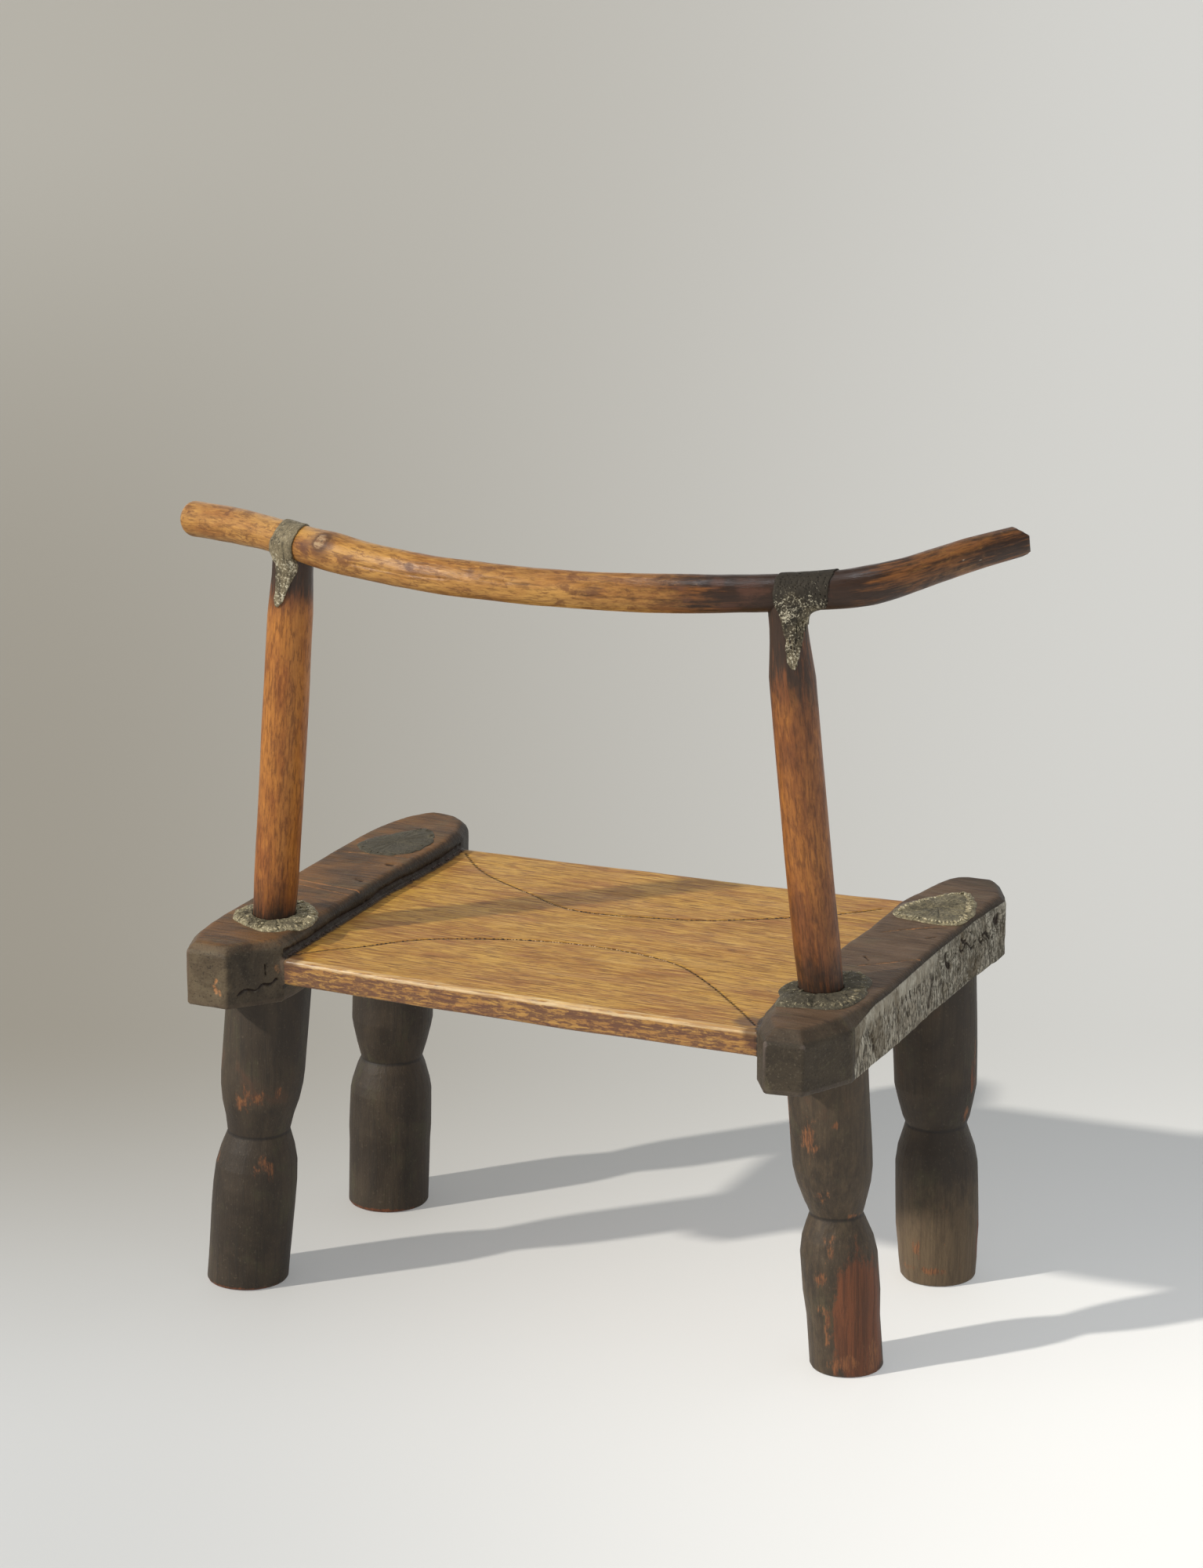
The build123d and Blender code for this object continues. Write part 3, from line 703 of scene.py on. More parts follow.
    # The weathered end grain: short upright strokes in pale grey, swirls towards the nose, dark pits
    stroke = finish.noise((100, 560, 165), 4, 0.7, 0.3)
    swirl = finish.noise((40, 34, 48), 2, 0.5, 1.2)
    lines = swirl.math("SINE", swirl * 75)
    nose = finish.step(y + (patch - 0.5) * 0.1, 0.005, -0.045)
    smooth = finish.step(z + (patch - 0.5) * 0.02, 0.274, 0.284) * (1 - nose * 0.7)
    cut = finish.step(stroke, 0.49, 0.56) * (1 - smooth * 0.75)
    bleached = finish.layered((0.42, 0.395, 0.325), (bloom, 0.38, 0.62, 1, (0.27, 0.240, 0.185)))
    bleached = finish.layered(
        finish.mix(cut * 0.9, bleached, (0.060, 0.049, 0.035)),
        (lines, 0.1, 0.9, nose * 0.6, (0.070, 0.062, 0.040)),
        (patch, 0.54, 0.62, 0.6, (0.105, 0.080, 0.048)),
    )
    smoked = finish.layered(smoked, (end + (blot - 0.5) * 0.5, 0.3, 0.6, 0.95, bleached))
    wood = finish.layered(
        finish.mix(rail, gold, smoked),
        # dirt and painted shade in the hollows and corners, such as beside the rails
        (hollow + (blot - 0.5) * 1.4, 0.30, 0.75, 0.85, (0.022, 0.016, 0.011)),
        (dark, 0.2, 0.75, 0.92, (0.020, 0.012, 0.008)),
        (pale * ((speck - 0.5) * 2.4 + 1.0), 0.12, 0.6, 0.75, (0.38, 0.175, 0.070)),
    )
    shine = finish.step(streak, 0.25, 0.8) * 0.16 + 0.36 + rail * 0.12 + end * 0.3 + speck * 0.06
    fine = finish.bump(fibre * 0.7 + streak, 0.0005, 0.45)
    rough = speck * rail * 0.8 - cut * end * 2.0 + lines * nose * end * 0.5 + hair * rail * 0.8
    normal = finish.bump(rough, 0.0006, 0.8, fine)
    return finish.set(Base_Color=wood, Roughness=shine - worn * 0.14, Normal=normal)


def groove_dirt(name, dark, pale):
    """Old wax and dust that fill a groove here and there."""
    finish = Finish(name, Roughness=0.5, Specular_IOR_Level=0.3)
    grit = finish.noise((600, 600, 600), 3, 0.6)
    return finish.set(Base_Color=finish.layered(dark, (grit, 0.4, 0.65, 1, pale)))


class Growth:
    """A node tree that makes a shape, with named sizes for its inputs."""

    def __init__(self, name, **sizes):
        self.tree = bpy.data.node_groups.new(name, "GeometryNodeTree")
        sockets = self.tree.interface
        sockets.new_socket("Line", in_out="INPUT", socket_type="NodeSocketGeometry")
        kinds = {int: "Int", float: "Float", tuple: "Vector", type(None): "Material"}
        for size, start in sizes.items():
            socket = sockets.new_socket(size, in_out="INPUT", socket_type="NodeSocket" + kinds[type(start)])
            if start is not None:
                socket.default_value = start
        sockets.new_socket("Shape", in_out="OUTPUT", socket_type="NodeSocketGeometry")
        self.given = self.tree.nodes.new("NodeGroupInput").outputs

    def add(self, *node):
        """Adds a node from its kind, settings, sockets and output, and gives that output."""
        return add_node(self.tree, *node)

    def scattered(self, mode, given, fineness, seed, **sockets):
        """Ends the tree: lumps on points along the line, some left out, made real and given the finish."""
        line = self.add("GeometryNodeMeshToCurve", None, {0: self.given["Line"]})
        spacing = {0: line, mode.capitalize(): self.given[given]}
        spots = self.add("GeometryNodeCurveToPoints", {"mode": mode}, spacing)
        lump = self.add("GeometryNodeMeshIcoSphere", None, {"Radius": 1.0, "Subdivisions": fineness})
        chance = {"Probability": self.given["Share"], "Seed": seed}
        kept = self.add("FunctionNodeRandomValue", {"data_type": "BOOLEAN"}, chance, 3)
        sockets = {"Points": spots, "Instance": lump, "Selection": kept, **sockets}
        shape = self.add("GeometryNodeInstanceOnPoints", None, sockets)
        real = self.add("GeometryNodeRealizeInstances", None, {0: shape})
        smooth = self.add("GeometryNodeSetShadeSmooth", None, {0: real})
        done = self.add("GeometryNodeSetMaterial", None, {0: smooth, "Material": self.given["Finish"]})
        self.tree.links.new(done, self.tree.nodes.new("NodeGroupOutput").inputs[0])
        return self.tree


def grown(name, tree, path, closed=False, **values):
    """The plain mesh object that a node tree grows along a path in millimetres."""
    count = len(path)
    links = [(k, (k + 1) % count) for k in range(count if closed else count - 1)]
    line = bpy.data.meshes.new(name + "_line")
    line.from_pydata((np.asarray(path, float) * MM).tolist(), links, [])
    made = bpy.data.objects.new(name, line)
    bpy.context.scene.collection.objects.link(made)
    modifier = made.modifiers.new("growth", "NODES")
    modifier.node_group = tree
    for socket in tree.interface.items_tree:
        if socket.in_out == "INPUT" and socket.name in values:
            modifier[socket.identifier] = values[socket.name]
    seen = made.evaluated_get(bpy.context.evaluated_depsgraph_get())
    mesh = bpy.data.meshes.new_from_object(seen)
    made.modifiers.remove(modifier)
    made.data = mesh
    return made


def bead_tree():
    """Small lumps of uneven size, scattered close together along a line."""
    growth = Growth(
        "beads_along_a_line", Spacing=0.002, Smallest=0.0003, Largest=0.0008, Share=0.8, Seed=1, Finish=None,
    )
    given = growth.given
    limits = {2: given["Smallest"], 3: given["Largest"], "Seed": given["Seed"]}
    size = growth.add("FunctionNodeRandomValue", {"data_type": "FLOAT"}, limits, 1)
    shape = growth.add("ShaderNodeVectorMath", {"operation": "MULTIPLY"}, {0: size, 1: (1.25, 1.0, 0.7)})
    return growth.scattered("LENGTH", "Spacing", 1, 5, Scale=shape)


stand_for("seat_block", "seat_wood", seat_block_mesh(), carved_wood())

dark_wax = groove_dirt("groove_wax", (0.020, 0.011, 0.008), (0.050, 0.026, 0.017))
pale_dust = groove_dirt("groove_dust", (0.30, 0.17, 0.075), (0.56, 0.40, 0.24))
beads = bead_tree()
left_seam = [(192, 150, 280.9), (190, 66, 280.8), (188, -11, 280.9), (182, -81, 280.8), (180, -138, 280.9)]
filled_lines = [*arc_paths, smooth_path(left_seam)]
groove_fillings = [  # name, line, its stretch in x, spacing, smallest and largest half width, share, finish
    ("front_arc_wax", 0, (-165, 42), 3.6, 0.6, 1.25, 0.75, dark_wax),
    ("front_arc_dust", 0, (0, 100), 2.4, 0.45, 0.8, 0.55, pale_dust),
    ("rear_arc_wax", 1, (28, 150), 3.4, 0.6, 1.15, 0.75, dark_wax),
    ("rear_arc_dust", 1, (-80, 60), 2.2, 0.5, 0.95, 0.7, pale_dust),
    ("rear_arc_crumbs", 1, (-150, -70), 4.0, 0.45, 0.8, 0.5, dark_wax),
    ("left_seam_dirt", 2, (170, 200), 2.6, 0.8, 2.1, 0.7, dark_wax),
]
SUNK = (0, 0, 0.35)  # how deep a filling lies in its groove
for seed, filling in enumerate(groove_fillings, 3):
    name, line, (low, high), spacing, smallest, largest, share, finish = filling
    stretch = [p - SUNK for p in filled_lines[line] if low < p[0] < high]
    crumbs = grown(
        name, beads, stretch, Spacing=spacing * MM, Smallest=smallest * MM, Largest=largest * MM, Share=share,
        Seed=seed, Finish=finish,
    )
    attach(crumbs, "root")

# ---- legs ----------------------------------------------------------------------------------------
# Four round legs of a dark hardwood, each carved as two barrels with a sharp waist between them, and
# tenoned up through the rails. Smoke and handling have blackened them, and red wood shows where worn.
leg_profiles = {  # height above the floor and radius
    "front_left_leg": [
        (0, 31.8), (50, 31.8), (62, 32.4), (80, 32.2), (94, 31.9), (101, 30.6), (114, 26.8), (120.5, 24),
        (133, 27.6), (146, 30.7), (153, 32), (246, 32),
    ],
    "front_right_leg": [
        (0, 28.5), (16, 30), (25, 30.4), (42, 31.7), (80, 31.7), (93, 31.6), (105, 29.7), (118, 25.4),
        (124.5, 23.4), (131, 26), (143, 28.8), (156, 31.4), (188, 32.2), (246, 32.4),
    ],
    "rear_left_leg": [
        (0, 31), (20, 31.2), (60, 32), (80, 32), (96, 31), (109, 28), (122, 23.6), (135, 25.8), (147, 29),
        (160, 31), (170, 31.6), (246, 31.8),
    ],
    "rear_right_leg": [
        (0, 27), (40, 27), (60, 28.5), (90, 28.5), (103, 26.3), (115, 22), (121.6, 19.5), (134, 23.5),
        (146, 27), (158, 29), (170, 29.5), (246, 30.3),
    ],
}
post_axes = {  # each post's base on the rail top and its head on the crest's middle line
    "left": ((225, 100.5, 294), (198.5, 109.5, 587.5)),
    "right": ((-212, 100.4, 294), (-185, 108.7, 587.5)),
}
# Worn spots on the legs: centre, half width and half height; the first list is red, the second orange
worn_spots = {
    "rear_right_leg": [((-246, 110, 46), 19, 52), ((-256, 98, 40), 17, 50)],
    "front_right_leg": [((-266, -108, 30), 3.0, 22), ((-263, -100, 165), 2.6, 22)],
    "rear_left_leg": [((252, 120, 0.5), 34, 2.2)],
    "front_left_leg": [((221, -60, 0.5), 34, 2.6)],
}
orange_spots = {
    "rear_left_leg": [
        ((243, 133, 153), 5, 10), ((234, 134, 155), 6, 12), ((225, 130, 156), 4, 10),
        ((224, 127, 101), 9, 10), ((216, 123, 98), 4, 6), ((213, 122, 160), 4, 7), ((266, 120, 95), 3, 14),
    ],
    "rear_right_leg": [
        ((-212, 125, 190), 7, 16), ((-218, 125, 180), 4, 7), ((-233, 122, 199), 3, 4),
        ((-192, 111, 205), 6, 24), ((-222, 122, 141), 7, 6), ((-239, 105, 124), 10, 2.5),
        ((-227, 119, 105), 4.2, 18), ((-222, 119, 79), 7, 8), ((-227, 117, 33), 4.5, 22),
        ((-222, 116, 52), 4, 7), ((-238, 113, 12), 16, 8), ((-254, 98, 14), 10, 15),
    ],
    "front_right_leg": [
        ((-262, -104, 167), 2.5, 24), ((-259, -99, 137), 3.5, 12), ((-250, -77, 66), 3, 8),
        ((-248, -77, 40), 3, 6), ((-235, -74, 14), 26, 3), ((-228, -74, 30), 4, 8),
    ],
    "front_left_leg": [((214, -55, 212), 7, 5), ((205, -57, 226), 12, 3)],
}
leg_fade_and_sunlight = {  # heights and how pale the wood is: its own paler tone, and painted sunlight low on the front right leg
    "front_right_leg": ((0, 30, 86, 100), (0.85, 0.75, 0.35, 0)),
    "rear_right_leg": ((0, 246), (0.42, 0.34)),
}
POST_RISE = 293.5  # from the rail top to the crest's middle line
LEG_SIDES = 120
SHOULDER = 245.6  # where the leg meets the underside of its rail
TENON, TENON_TOP = 21, 293.6
SOCKET, SOCKET_FOOT = 11.3, 248
FOOT_ARRIS = 2.4


def rings(centres, radii, out, side):
    """Points and faces of a stick drawn as rings: centres, radii by ring and side, two cross vectors."""
    count, sides = radii.shape
    turn = np.linspace(0, 2 * math.pi, sides, endpoint=False)
    spread = np.cos(turn)[None, :, None] * out[:, None, :] + np.sin(turn)[None, :, None] * side[:, None, :]
    points = (centres[:, None, :] + spread * radii[:, :, None]).reshape(-1, 3)
    index = np.arange(count * sides).reshape(count, sides)
    after = np.roll(index, -1, axis=1)
    faces = np.stack([index[:-1], after[:-1], after[1:], index[1:]], -1).reshape(-1, 4).tolist()
    first, last = count * sides, count * sides + 1
    faces += [[first, after[0, k], index[0, k]] for k in range(sides)]
    faces += [[last, index[-1, k], after[-1, k]] for k in range(sides)]
    return np.concatenate([points, centres[[0, -1]]]), faces


def wrapped(along, sides, radius):
    """A map of a stick's skin for its wear: the distance along it, and a round of one radius."""
    along, turn = np.broadcast_arrays(along[:, None], np.linspace(0, 2 * math.pi, sides, endpoint=False))
    return np.stack([along, np.cos(turn) * radius, np.sin(turn) * radius], -1).reshape(-1, 3)


def spot_strength(points, spots):
    """How near each point is to the middle of a spot, from 0 to 1."""
    strength = np.zeros(len(points))
    for centre, wide, high in spots:
        away = (points - centre) / (wide, wide, high)
        strength = np.maximum(strength, np.exp(-0.7 * np.sum(away * away, axis=1)))
    return strength


def leg_mesh(name, seed):
    """One leg: its foot, its two barrels, its tenon and, at the rear, the blind socket for the post."""
    profile = np.array(leg_profiles[name])
    heights = np.concatenate([np.arange(2.2, 246, 2.0), profile[:, 0]])
    heights = np.unique(heights[(heights > 2) & (heights < 244)])
    foot, top = profile[0, 1], profile[-1, 1]
    stations = [(0, foot * 0.5), (0, foot - FOOT_ARRIS - 3), (0, foot - FOOT_ARRIS), (0.7, foot - 0.8)]
    stations += zip(heights, np.interp(heights, *profile.T))
    stations += [(SHOULDER, radius) for radius in (top - 0.2, MORTISE + 4, TENON)]
    stations += [(level, TENON) for level in (250, 270, TENON_TOP)]
    stations = np.array(stations)
    centres = between(*leg_axes[name], stations[:, 0] / RAIL_TOP)
    if name.startswith("rear"):
        levels = np.array([TENON_TOP, 280, 260, SOCKET_FOOT, SOCKET_FOOT])
        socket = between(*post_axes[name.split("_")[1]], (levels - RAIL_TOP) / POST_RISE)
        centres = np.concatenate([centres, socket])
        stations = np.concatenate([stations, np.stack([levels, [SOCKET] * 4 + [4]], 1)])
    else:
        centres = np.concatenate([centres, centres[-1:]])
        stations = np.concatenate([stations, [[TENON_TOP, 8]]])
    level, radius = stations.T[:, :, None]
    wrap = wrapped(stations[:, 0], LEG_SIDES, 30)[:, [1, 2, 0]]
    cut = 0.45 * bumps(wrap, (14, 14, 60), seed) + 0.16 * bumps(wrap, (4, 4, 30), seed + 1)
    cut = cut.reshape(-1, LEG_SIDES) * ((level > 0.5) & (level < 245)) * (radius > 22)
    points, faces = rings(centres, radius + cut, *np.eye(3)[:2, None])
    height = points[:, 2]
    waist = min(leg_profiles[name], key=lambda station: station[1])[0]
    numbers = {
        "worn": spot_strength(points, worn_spots[name]),
        "orange": spot_strength(points, orange_spots[name]),
        # a thin dark ring painted along the crease of the waist
        "waist_crease": fall(height - waist, 1.6),
        "fade_and_sunlight": np.interp(height, *leg_fade_and_sunlight.get(name, ((0, 1), (0, 0)))),
    }
    return points, faces, numbers


def smoked_wood():
    """Blackened leg wood with an olive cast, brown and orange where the black has worn through."""
    finish = Finish("smoked_leg", Specular_IOR_Level=0.3)
    grain = finish.noise((330, 330, 14), 5, 0.7, 0.1)
    fine = finish.noise((800, 800, 90), 3, 0.6, 0.1)
    cloud = finish.noise((22, 22, 15), 5, 0.65, 0.4)
    moss = finish.noise((34, 34, 24), 5, 0.7, 0.3)
    ragged = finish.noise((190, 190, 70), 5, 0.75, 0.2)
    speck = finish.noise((480, 480, 400), 2, 0.6)
    worn, orange, waist_crease, fade_and_sunlight = finish.stored("worn", "orange", "waist_crease", "fade_and_sunlight")
    pale_and_sunlit = finish.layered((0.150, 0.102, 0.056), (grain, 0.42, 0.62, 1, (0.108, 0.073, 0.041)))
    red = finish.layered((0.155, 0.050, 0.020), (grain, 0.38, 0.60, 1, (0.088, 0.032, 0.015)))
    bright = finish.layered((0.225, 0.090, 0.034), (fine, 0.40, 0.60, 1, (0.10, 0.042, 0.021)))
    wood = finish.layered(
        (0.027, 0.019, 0.0125),
        (cloud, 0.36, 0.66, 1, (0.053, 0.038, 0.024)),
        (moss, 0.52, 0.66, 0.55, (0.052, 0.046, 0.024)),
        (grain, 0.47, 0.70, 0.55, (0.022, 0.018, 0.014)),
        (speck, 0.62, 0.70, 0.3, (0.115, 0.088, 0.058)),
        (cloud, 0.60, 0.74, 0.5, (0.095, 0.045, 0.026)),
        # paler wood: the rear right leg's own tone, and low on the front right leg a painted patch of
        # sunlight
        (fade_and_sunlight + (ragged - 0.5) * 0.8, 0.2, 0.8, 0.7, pale_and_sunlit),
        (worn + (ragged - 0.5) * 1.2, 0.40, 0.62, 0.9, red),
        (orange + (ragged - 0.5) * 3.0, 0.60, 1.05, 0.8, bright),
        # the waist's crease painted darker
        (waist_crease, 0.2, 0.9, 0.75, (0.014, 0.011, 0.009)),
    )
    shine = finish.step(cloud, 0.2, 0.8) * 0.14 + 0.46 + grain * 0.1
    normal = finish.bump(grain + fine * 0.6 + speck * 0.5, 0.0006, 0.7)
    return finish.set(Base_Color=wood, Roughness=shine, Normal=normal)


leg_finish = smoked_wood()
for seed, leg in enumerate(leg_axes, 11):
    stand_for(leg, "leg_wood", leg_mesh(leg, seed * 3), leg_finish, sharp=50)

# ---- crest rail ----------------------------------------------------------------------------------
# A bent branch with its bark off, rubbed golden by hands and darker to the right. A knot stands at
# the left of the bend, and drying checks run along the back.
crest_corners = [
    (319.5, 40.5, 578), (278.1, 60, 581.5), (198.5, 109.5, 587.5), (144.1, 138, 588.5),
    (45.25, 158.8, 586.9), (-90, 143.7, 586), (-185, 108.7, 587.5), (-239.7, 86.7, 593.2),
    (-280.7, 39.7, 602.7), (-321.5, -14.3, 610.5),
]
crest_girths = [  # x along the branch and radius
    (-321.5, 11.2), (-300, 11.8), (-262, 12.7), (-240, 14), (-205, 13.3), (-160, 13.2), (-111, 13.9),
    (-60, 13.4), (0, 13.2), (60, 13.3), (110, 13.4), (144, 13.9), (170, 13.6), (198, 12.8), (260, 13),
    (319.5, 13.2),
]
KNOT = np.array((160.0, 142.0, 598.0))
crest_checks = [
    [(133, 157, 588), (110, 163, 588), (80, 169, 588), (50, 172, 588.5)],
    [(-45, 168, 586), (-80, 161, 585), (-121, 148, 584)],
    [(20, 172, 592), (-20, 171, 591), (-50, 168, 592)],
]
crest_stains = [
    ((-143, 133, 596), 7, 9), ((-124, 146, 585), 5, 3), ((31, 170, 595), 5, 5), ((20, 168, 598), 6, 4),
    ((176, 138, 594), 7, 12), ((-165, 122, 590), 14, 12), ((-205, 108, 590), 16, 12),
    ((-60, 165, 590), 12, 6), ((80, 165, 592), 5, 6), ((250, 85, 584), 7, 7), ((-120, 150, 596), 9, 6),
    ((-150, 133, 579), 10, 5),
]
crest_nicks = [((-293, 42, 606), 2.6, 0.6), ((-302, 30, 604), 2.4, 0.6), ((275, 74, 583), 1.4, 0.9)]
crest_line = smooth_path(crest_corners, 2.4)
# The stations lie closer where the left end rounds over.
first, fifth = crest_line[0], crest_line[4]
left_end = 8 * (1 - np.cos(np.linspace(0, math.pi / 2, 8)))[:, None]
left_end = first + left_end * (fifth - first) / np.linalg.norm(fifth - first)
crest_line = np.concatenate([left_end, crest_line[4:]])
CREST_SIDES = 112


def cross_vectors(line):
    """For each point of a line, the unit vectors across it: outwards level and upwards."""
    ahead = np.gradient(line, axis=0)
    ahead /= np.linalg.norm(ahead, axis=1)[:, None]
    level = np.cross(ahead, (0, 0, 1))
    level /= np.linalg.norm(level, axis=1)[:, None]
    return level, np.cross(level, ahead)


def crest_radius(line):
    """The branch's radius at points of its middle line."""
    return np.interp(line[:, 0], *zip(*crest_girths))


def crest_mesh():
    """The branch with its worn hollows, its knot and its drying checks, and the numbers for its finish."""
    level, up = cross_vectors(crest_line)
    along = distance_along(crest_line)
    radius = crest_radius(crest_line)
    for end, arris in ((0, 8.0), (along[-1], 1.5)):  # the left end is round, the right one nearly flat
        inside = np.clip(1 - np.abs(along - end) / arris, 0, 1)
        radius = radius - arris * (1 - np.sqrt(1 - inside**2))
    wrap = wrapped(along, CREST_SIDES, 13)
    worn = 0.45 * bumps(wrap, (45, 12, 12), 41) + 0.22 * bumps(wrap, (16, 6, 6), 42)
    worn = worn + 0.07 * bumps(wrap, (30, 2.2, 2.2), 43)
    points, faces = rings(crest_line, radius[:, None] + worn.reshape(-1, CREST_SIDES), level, up)
    out = points[:-2] - np.repeat(crest_line, CREST_SIDES, axis=0)
    out /= np.linalg.norm(out, axis=1)[:, None]
    # the knot: a swelling with a hollow eye, and a groove round it
    knot = np.linalg.norm(points[:-2] - KNOT, axis=1)
    shift = 2.4 * fall(knot, 13) - 1.8 * fall(knot, 1.8)
    shift -= 0.5 * fall(knot - 6.5, 1.3) * (1 + bumps(wrap, (5, 5, 5), 45))
    checks = [smooth_path(path, 3) for path in crest_checks]
    for path in checks:
        gap, _ = path_distance(points[:-2], path)
        shift -= 1.1 * fall(gap + 0.5 * bumps(wrap, (6, 2, 2), 44), 0.7)
    points[:-2] += out * shift[:, None]
    ahead = crest_line[-1] - crest_line[-4]
    ahead /= np.linalg.norm(ahead)
    side, rise = level[-1], up[-1]
    for lean, spot in (  # the facets that a knife left at the right end
        (ahead, -1.4 * ahead), (0.66 * ahead + 0.75 * rise, 3.5 * rise - ahead),
        (0.72 * ahead - 0.69 * rise, -4.5 * rise - ahead), (0.8 * ahead + 0.6 * side, 6 * side - ahead),
        (0.75 * ahead - 0.66 * side, -5 * side - ahead),
    ):
        lean = lean / np.linalg.norm(lean)
        over = np.maximum((points - crest_line[-1] - spot) @ lean, 0)
        points -= over[:, None] * lean
    numbers = {
        "grain": np.concatenate([wrap, [[0, 0, 0], [along[-1], 0, 0]]]) * MM,
        "smoke": np.interp(
            points[:, 0], (-330, -290, -264, -242, -222, -190, -150, -110, -60, 40, 90),
            (0.9, 0.66, 0.76, 1.20, 1.25, 1.2, 1.05, 0.60, 0.36, 0.12, 0),
        ),
        "check": np.max([fall(path_distance(points, path)[0], 0.9) for path in checks], axis=0),
        "knot": np.linalg.norm(points - KNOT, axis=1),
        "stain": spot_strength(points, crest_stains),
        "nick": spot_strength(points, crest_nicks),
    }
    return points, faces, numbers


def toned(colour, share):
    """A colour made darker or paler by a share."""
    return tuple(min(1, share * part) for part in colour)


def rubbed_wood(name, light, deep, mottle_colour, smoked, ember, blotches):
    """Wood polished by hands: short fibres along the stored grain, soft clouds, and smoke near the ends."""
    finish = Finish(name, Specular_IOR_Level=0.3)
    (smoke,) = finish.stored("smoke")
    cloud = finish.noise((14, 45, 45), 5, 0.65, 0.3, "grain")
    streak = finish.noise((24, 360, 360), 5, 0.7, 0.1, "grain")
    fibre = finish.noise((90, 600, 600), 3, 0.65, 0.1, "grain")
    mottle = finish.noise((60, 120, 120), 5, 0.75, 0.4, "grain")
    char = finish.layered(
        smoked,
        (streak * 0.6 + cloud * 0.5 - (smoke - 0.8) * 0.3, 0.50, 0.66, 1, ember),
        (fibre, 0.46, 0.64, 0.4, toned(smoked, 0.4)),
    )
    wood = finish.layered(
        deep,
        (cloud, 0.36, 0.64, 1, light),
        (streak, 0.48, 0.68, 0.5, toned(deep, 0.62)),
        (fibre, 0.51, 0.61, 0.6, toned(deep, 0.5)),
        (fibre, 0.46, 0.34, 0.35, toned(light, 1.35)),
        (mottle, 0.51, 0.63, blotches, mottle_colour),
        (smoke + (mottle - 0.5) * blotches * 1.3 + (streak - 0.5) * 0.6, 0.28, 0.78, 1, char),
    )
    return finish, wood, streak, fibre, mottle


def crest_wood():
    """The branch: golden at the left, dark at the right, with its knot, checks and stains."""
    finish, wood, streak, fine, mottle = rubbed_wood(
        "crest_branch", (0.43, 0.225, 0.058), (0.28, 0.118, 0.030), (0.110, 0.038, 0.015),
        (0.032, 0.015, 0.008), (0.195, 0.074, 0.020), 0.65,
    )
    check, stain, knot, nick = finish.stored("check", "stain", "knot", "nick")
    ring = fine + (mottle - 0.5) * 0.8
    eye = finish.layered((0.46, 0.32, 0.18), (ring, 0.42, 0.60, 1, (0.21, 0.11, 0.056)))
    wood = finish.layered(
        wood,
        (stain + (mottle - 0.5) * 1.5 + (streak - 0.5) * 0.8, 0.45, 1.0, 0.6, (0.095, 0.040, 0.024)),
        (knot + (mottle - 0.5) * 14 + (streak - 0.5) * 10, 15.0, 9.5, 0.55, (0.105, 0.046, 0.024)),
        (knot + (mottle - 0.5) * 9, 10.0, 7.5, 0.6, (0.060, 0.030, 0.018)),
        (knot + (mottle - 0.5) * 9, 6.8, 5.0, 0.65, eye),
        (knot + (fine - 0.5) * 3, 2.6, 1.3, 1, (0.04, 0.022, 0.014)),
        (check, 0.25, 0.8, 0.9, (0.022, 0.012, 0.008)),
        (nick + (fine - 0.5) * 0.8, 0.5, 0.8, 0.55, (0.50, 0.41, 0.30)),
    )
    shine = finish.step(mottle, 0.3, 0.7) * 0.16 + 0.28 + fine * 0.1
    normal = finish.bump(streak + fine * 0.8 + mottle * 0.6, 0.0005, 0.65)
    return finish.set(Base_Color=wood, Roughness=shine, Normal=normal)


stand_for("crest_rail", "crest_wood", crest_mesh(), crest_wood())

# ---- back posts ----------------------------------------------------------------------------------
# Two round sticks of a reddish wood, socketed in the tops of the rear legs and coped under the crest.
# Both are worn thin at the neck, and dark at the neck and foot where hands and metal have marked them.
post_girths = {  # distance up the post from the rail top and radius
    "left": [(0, 16.2), (30, 16.9), (238, 16.9), (262, 15.6), (268, 15.2), (292, 15.2)],
    "right": [(0, 16.2), (30, 16.9), (120, 17), (232, 16.9), (258, 14.4), (268, 13.8), (292, 13.8)],
}
post_smoke = {  # distance up the post and how dark it is there
    "left": ((0, 8, 30, 60, 225, 245, 265), (1.0, 0.75, 0.5, 0.2, 0.05, 0.5, 1.0)),
    "right": ((0, 10, 35, 80, 205, 235, 262), (1.0, 0.75, 0.58, 0.54, 0.54, 0.80, 1.0)),
}
POST_SIDES = 96
POST_HEAD = 292
STUB = 11  # the radius of the stub tenon in the leg's socket


def post_mesh(side, seed):
    """One post, with the stub tenon at its foot, and the numbers that its finish reads."""
    rise = np.array([0, 0, *np.arange(2.5, POST_HEAD, 2.5), POST_HEAD])
    radius = np.interp(rise, *zip(*post_girths[side]))
    radius[0] = STUB
    rise = np.concatenate([[-44.5, -44.5, -43, -20], rise])
    radius = np.concatenate([[4, 9.5, STUB, STUB], radius])
    line = between(*post_axes[side], rise / POST_RISE)
    if side == "right":  # a slight bow towards the chair's middle
        line[:, 0] += 1.2 * np.sin(np.clip(rise / POST_RISE, 0, 1) * math.pi)
    wrap = wrapped(rise, POST_SIDES, 16)
    worn = 0.35 * bumps(wrap, (60, 10, 10), seed) + 0.14 * bumps(wrap, (30, 3, 3), seed + 1)
    worn = worn.reshape(-1, POST_SIDES) * (rise > 1)[:, None]
    points, faces = rings(line, radius[:, None] + worn, *np.eye(3)[:2, None])
    grain = np.concatenate([wrap, [[-44, 0, 0], [POST_HEAD, 0, 0]]])
    smoke = np.interp(grain[:, 0], *post_smoke[side])
    return points, faces, {"grain": grain * MM + (0.5 * (side == "right"), 0, 0), "smoke": smoke}


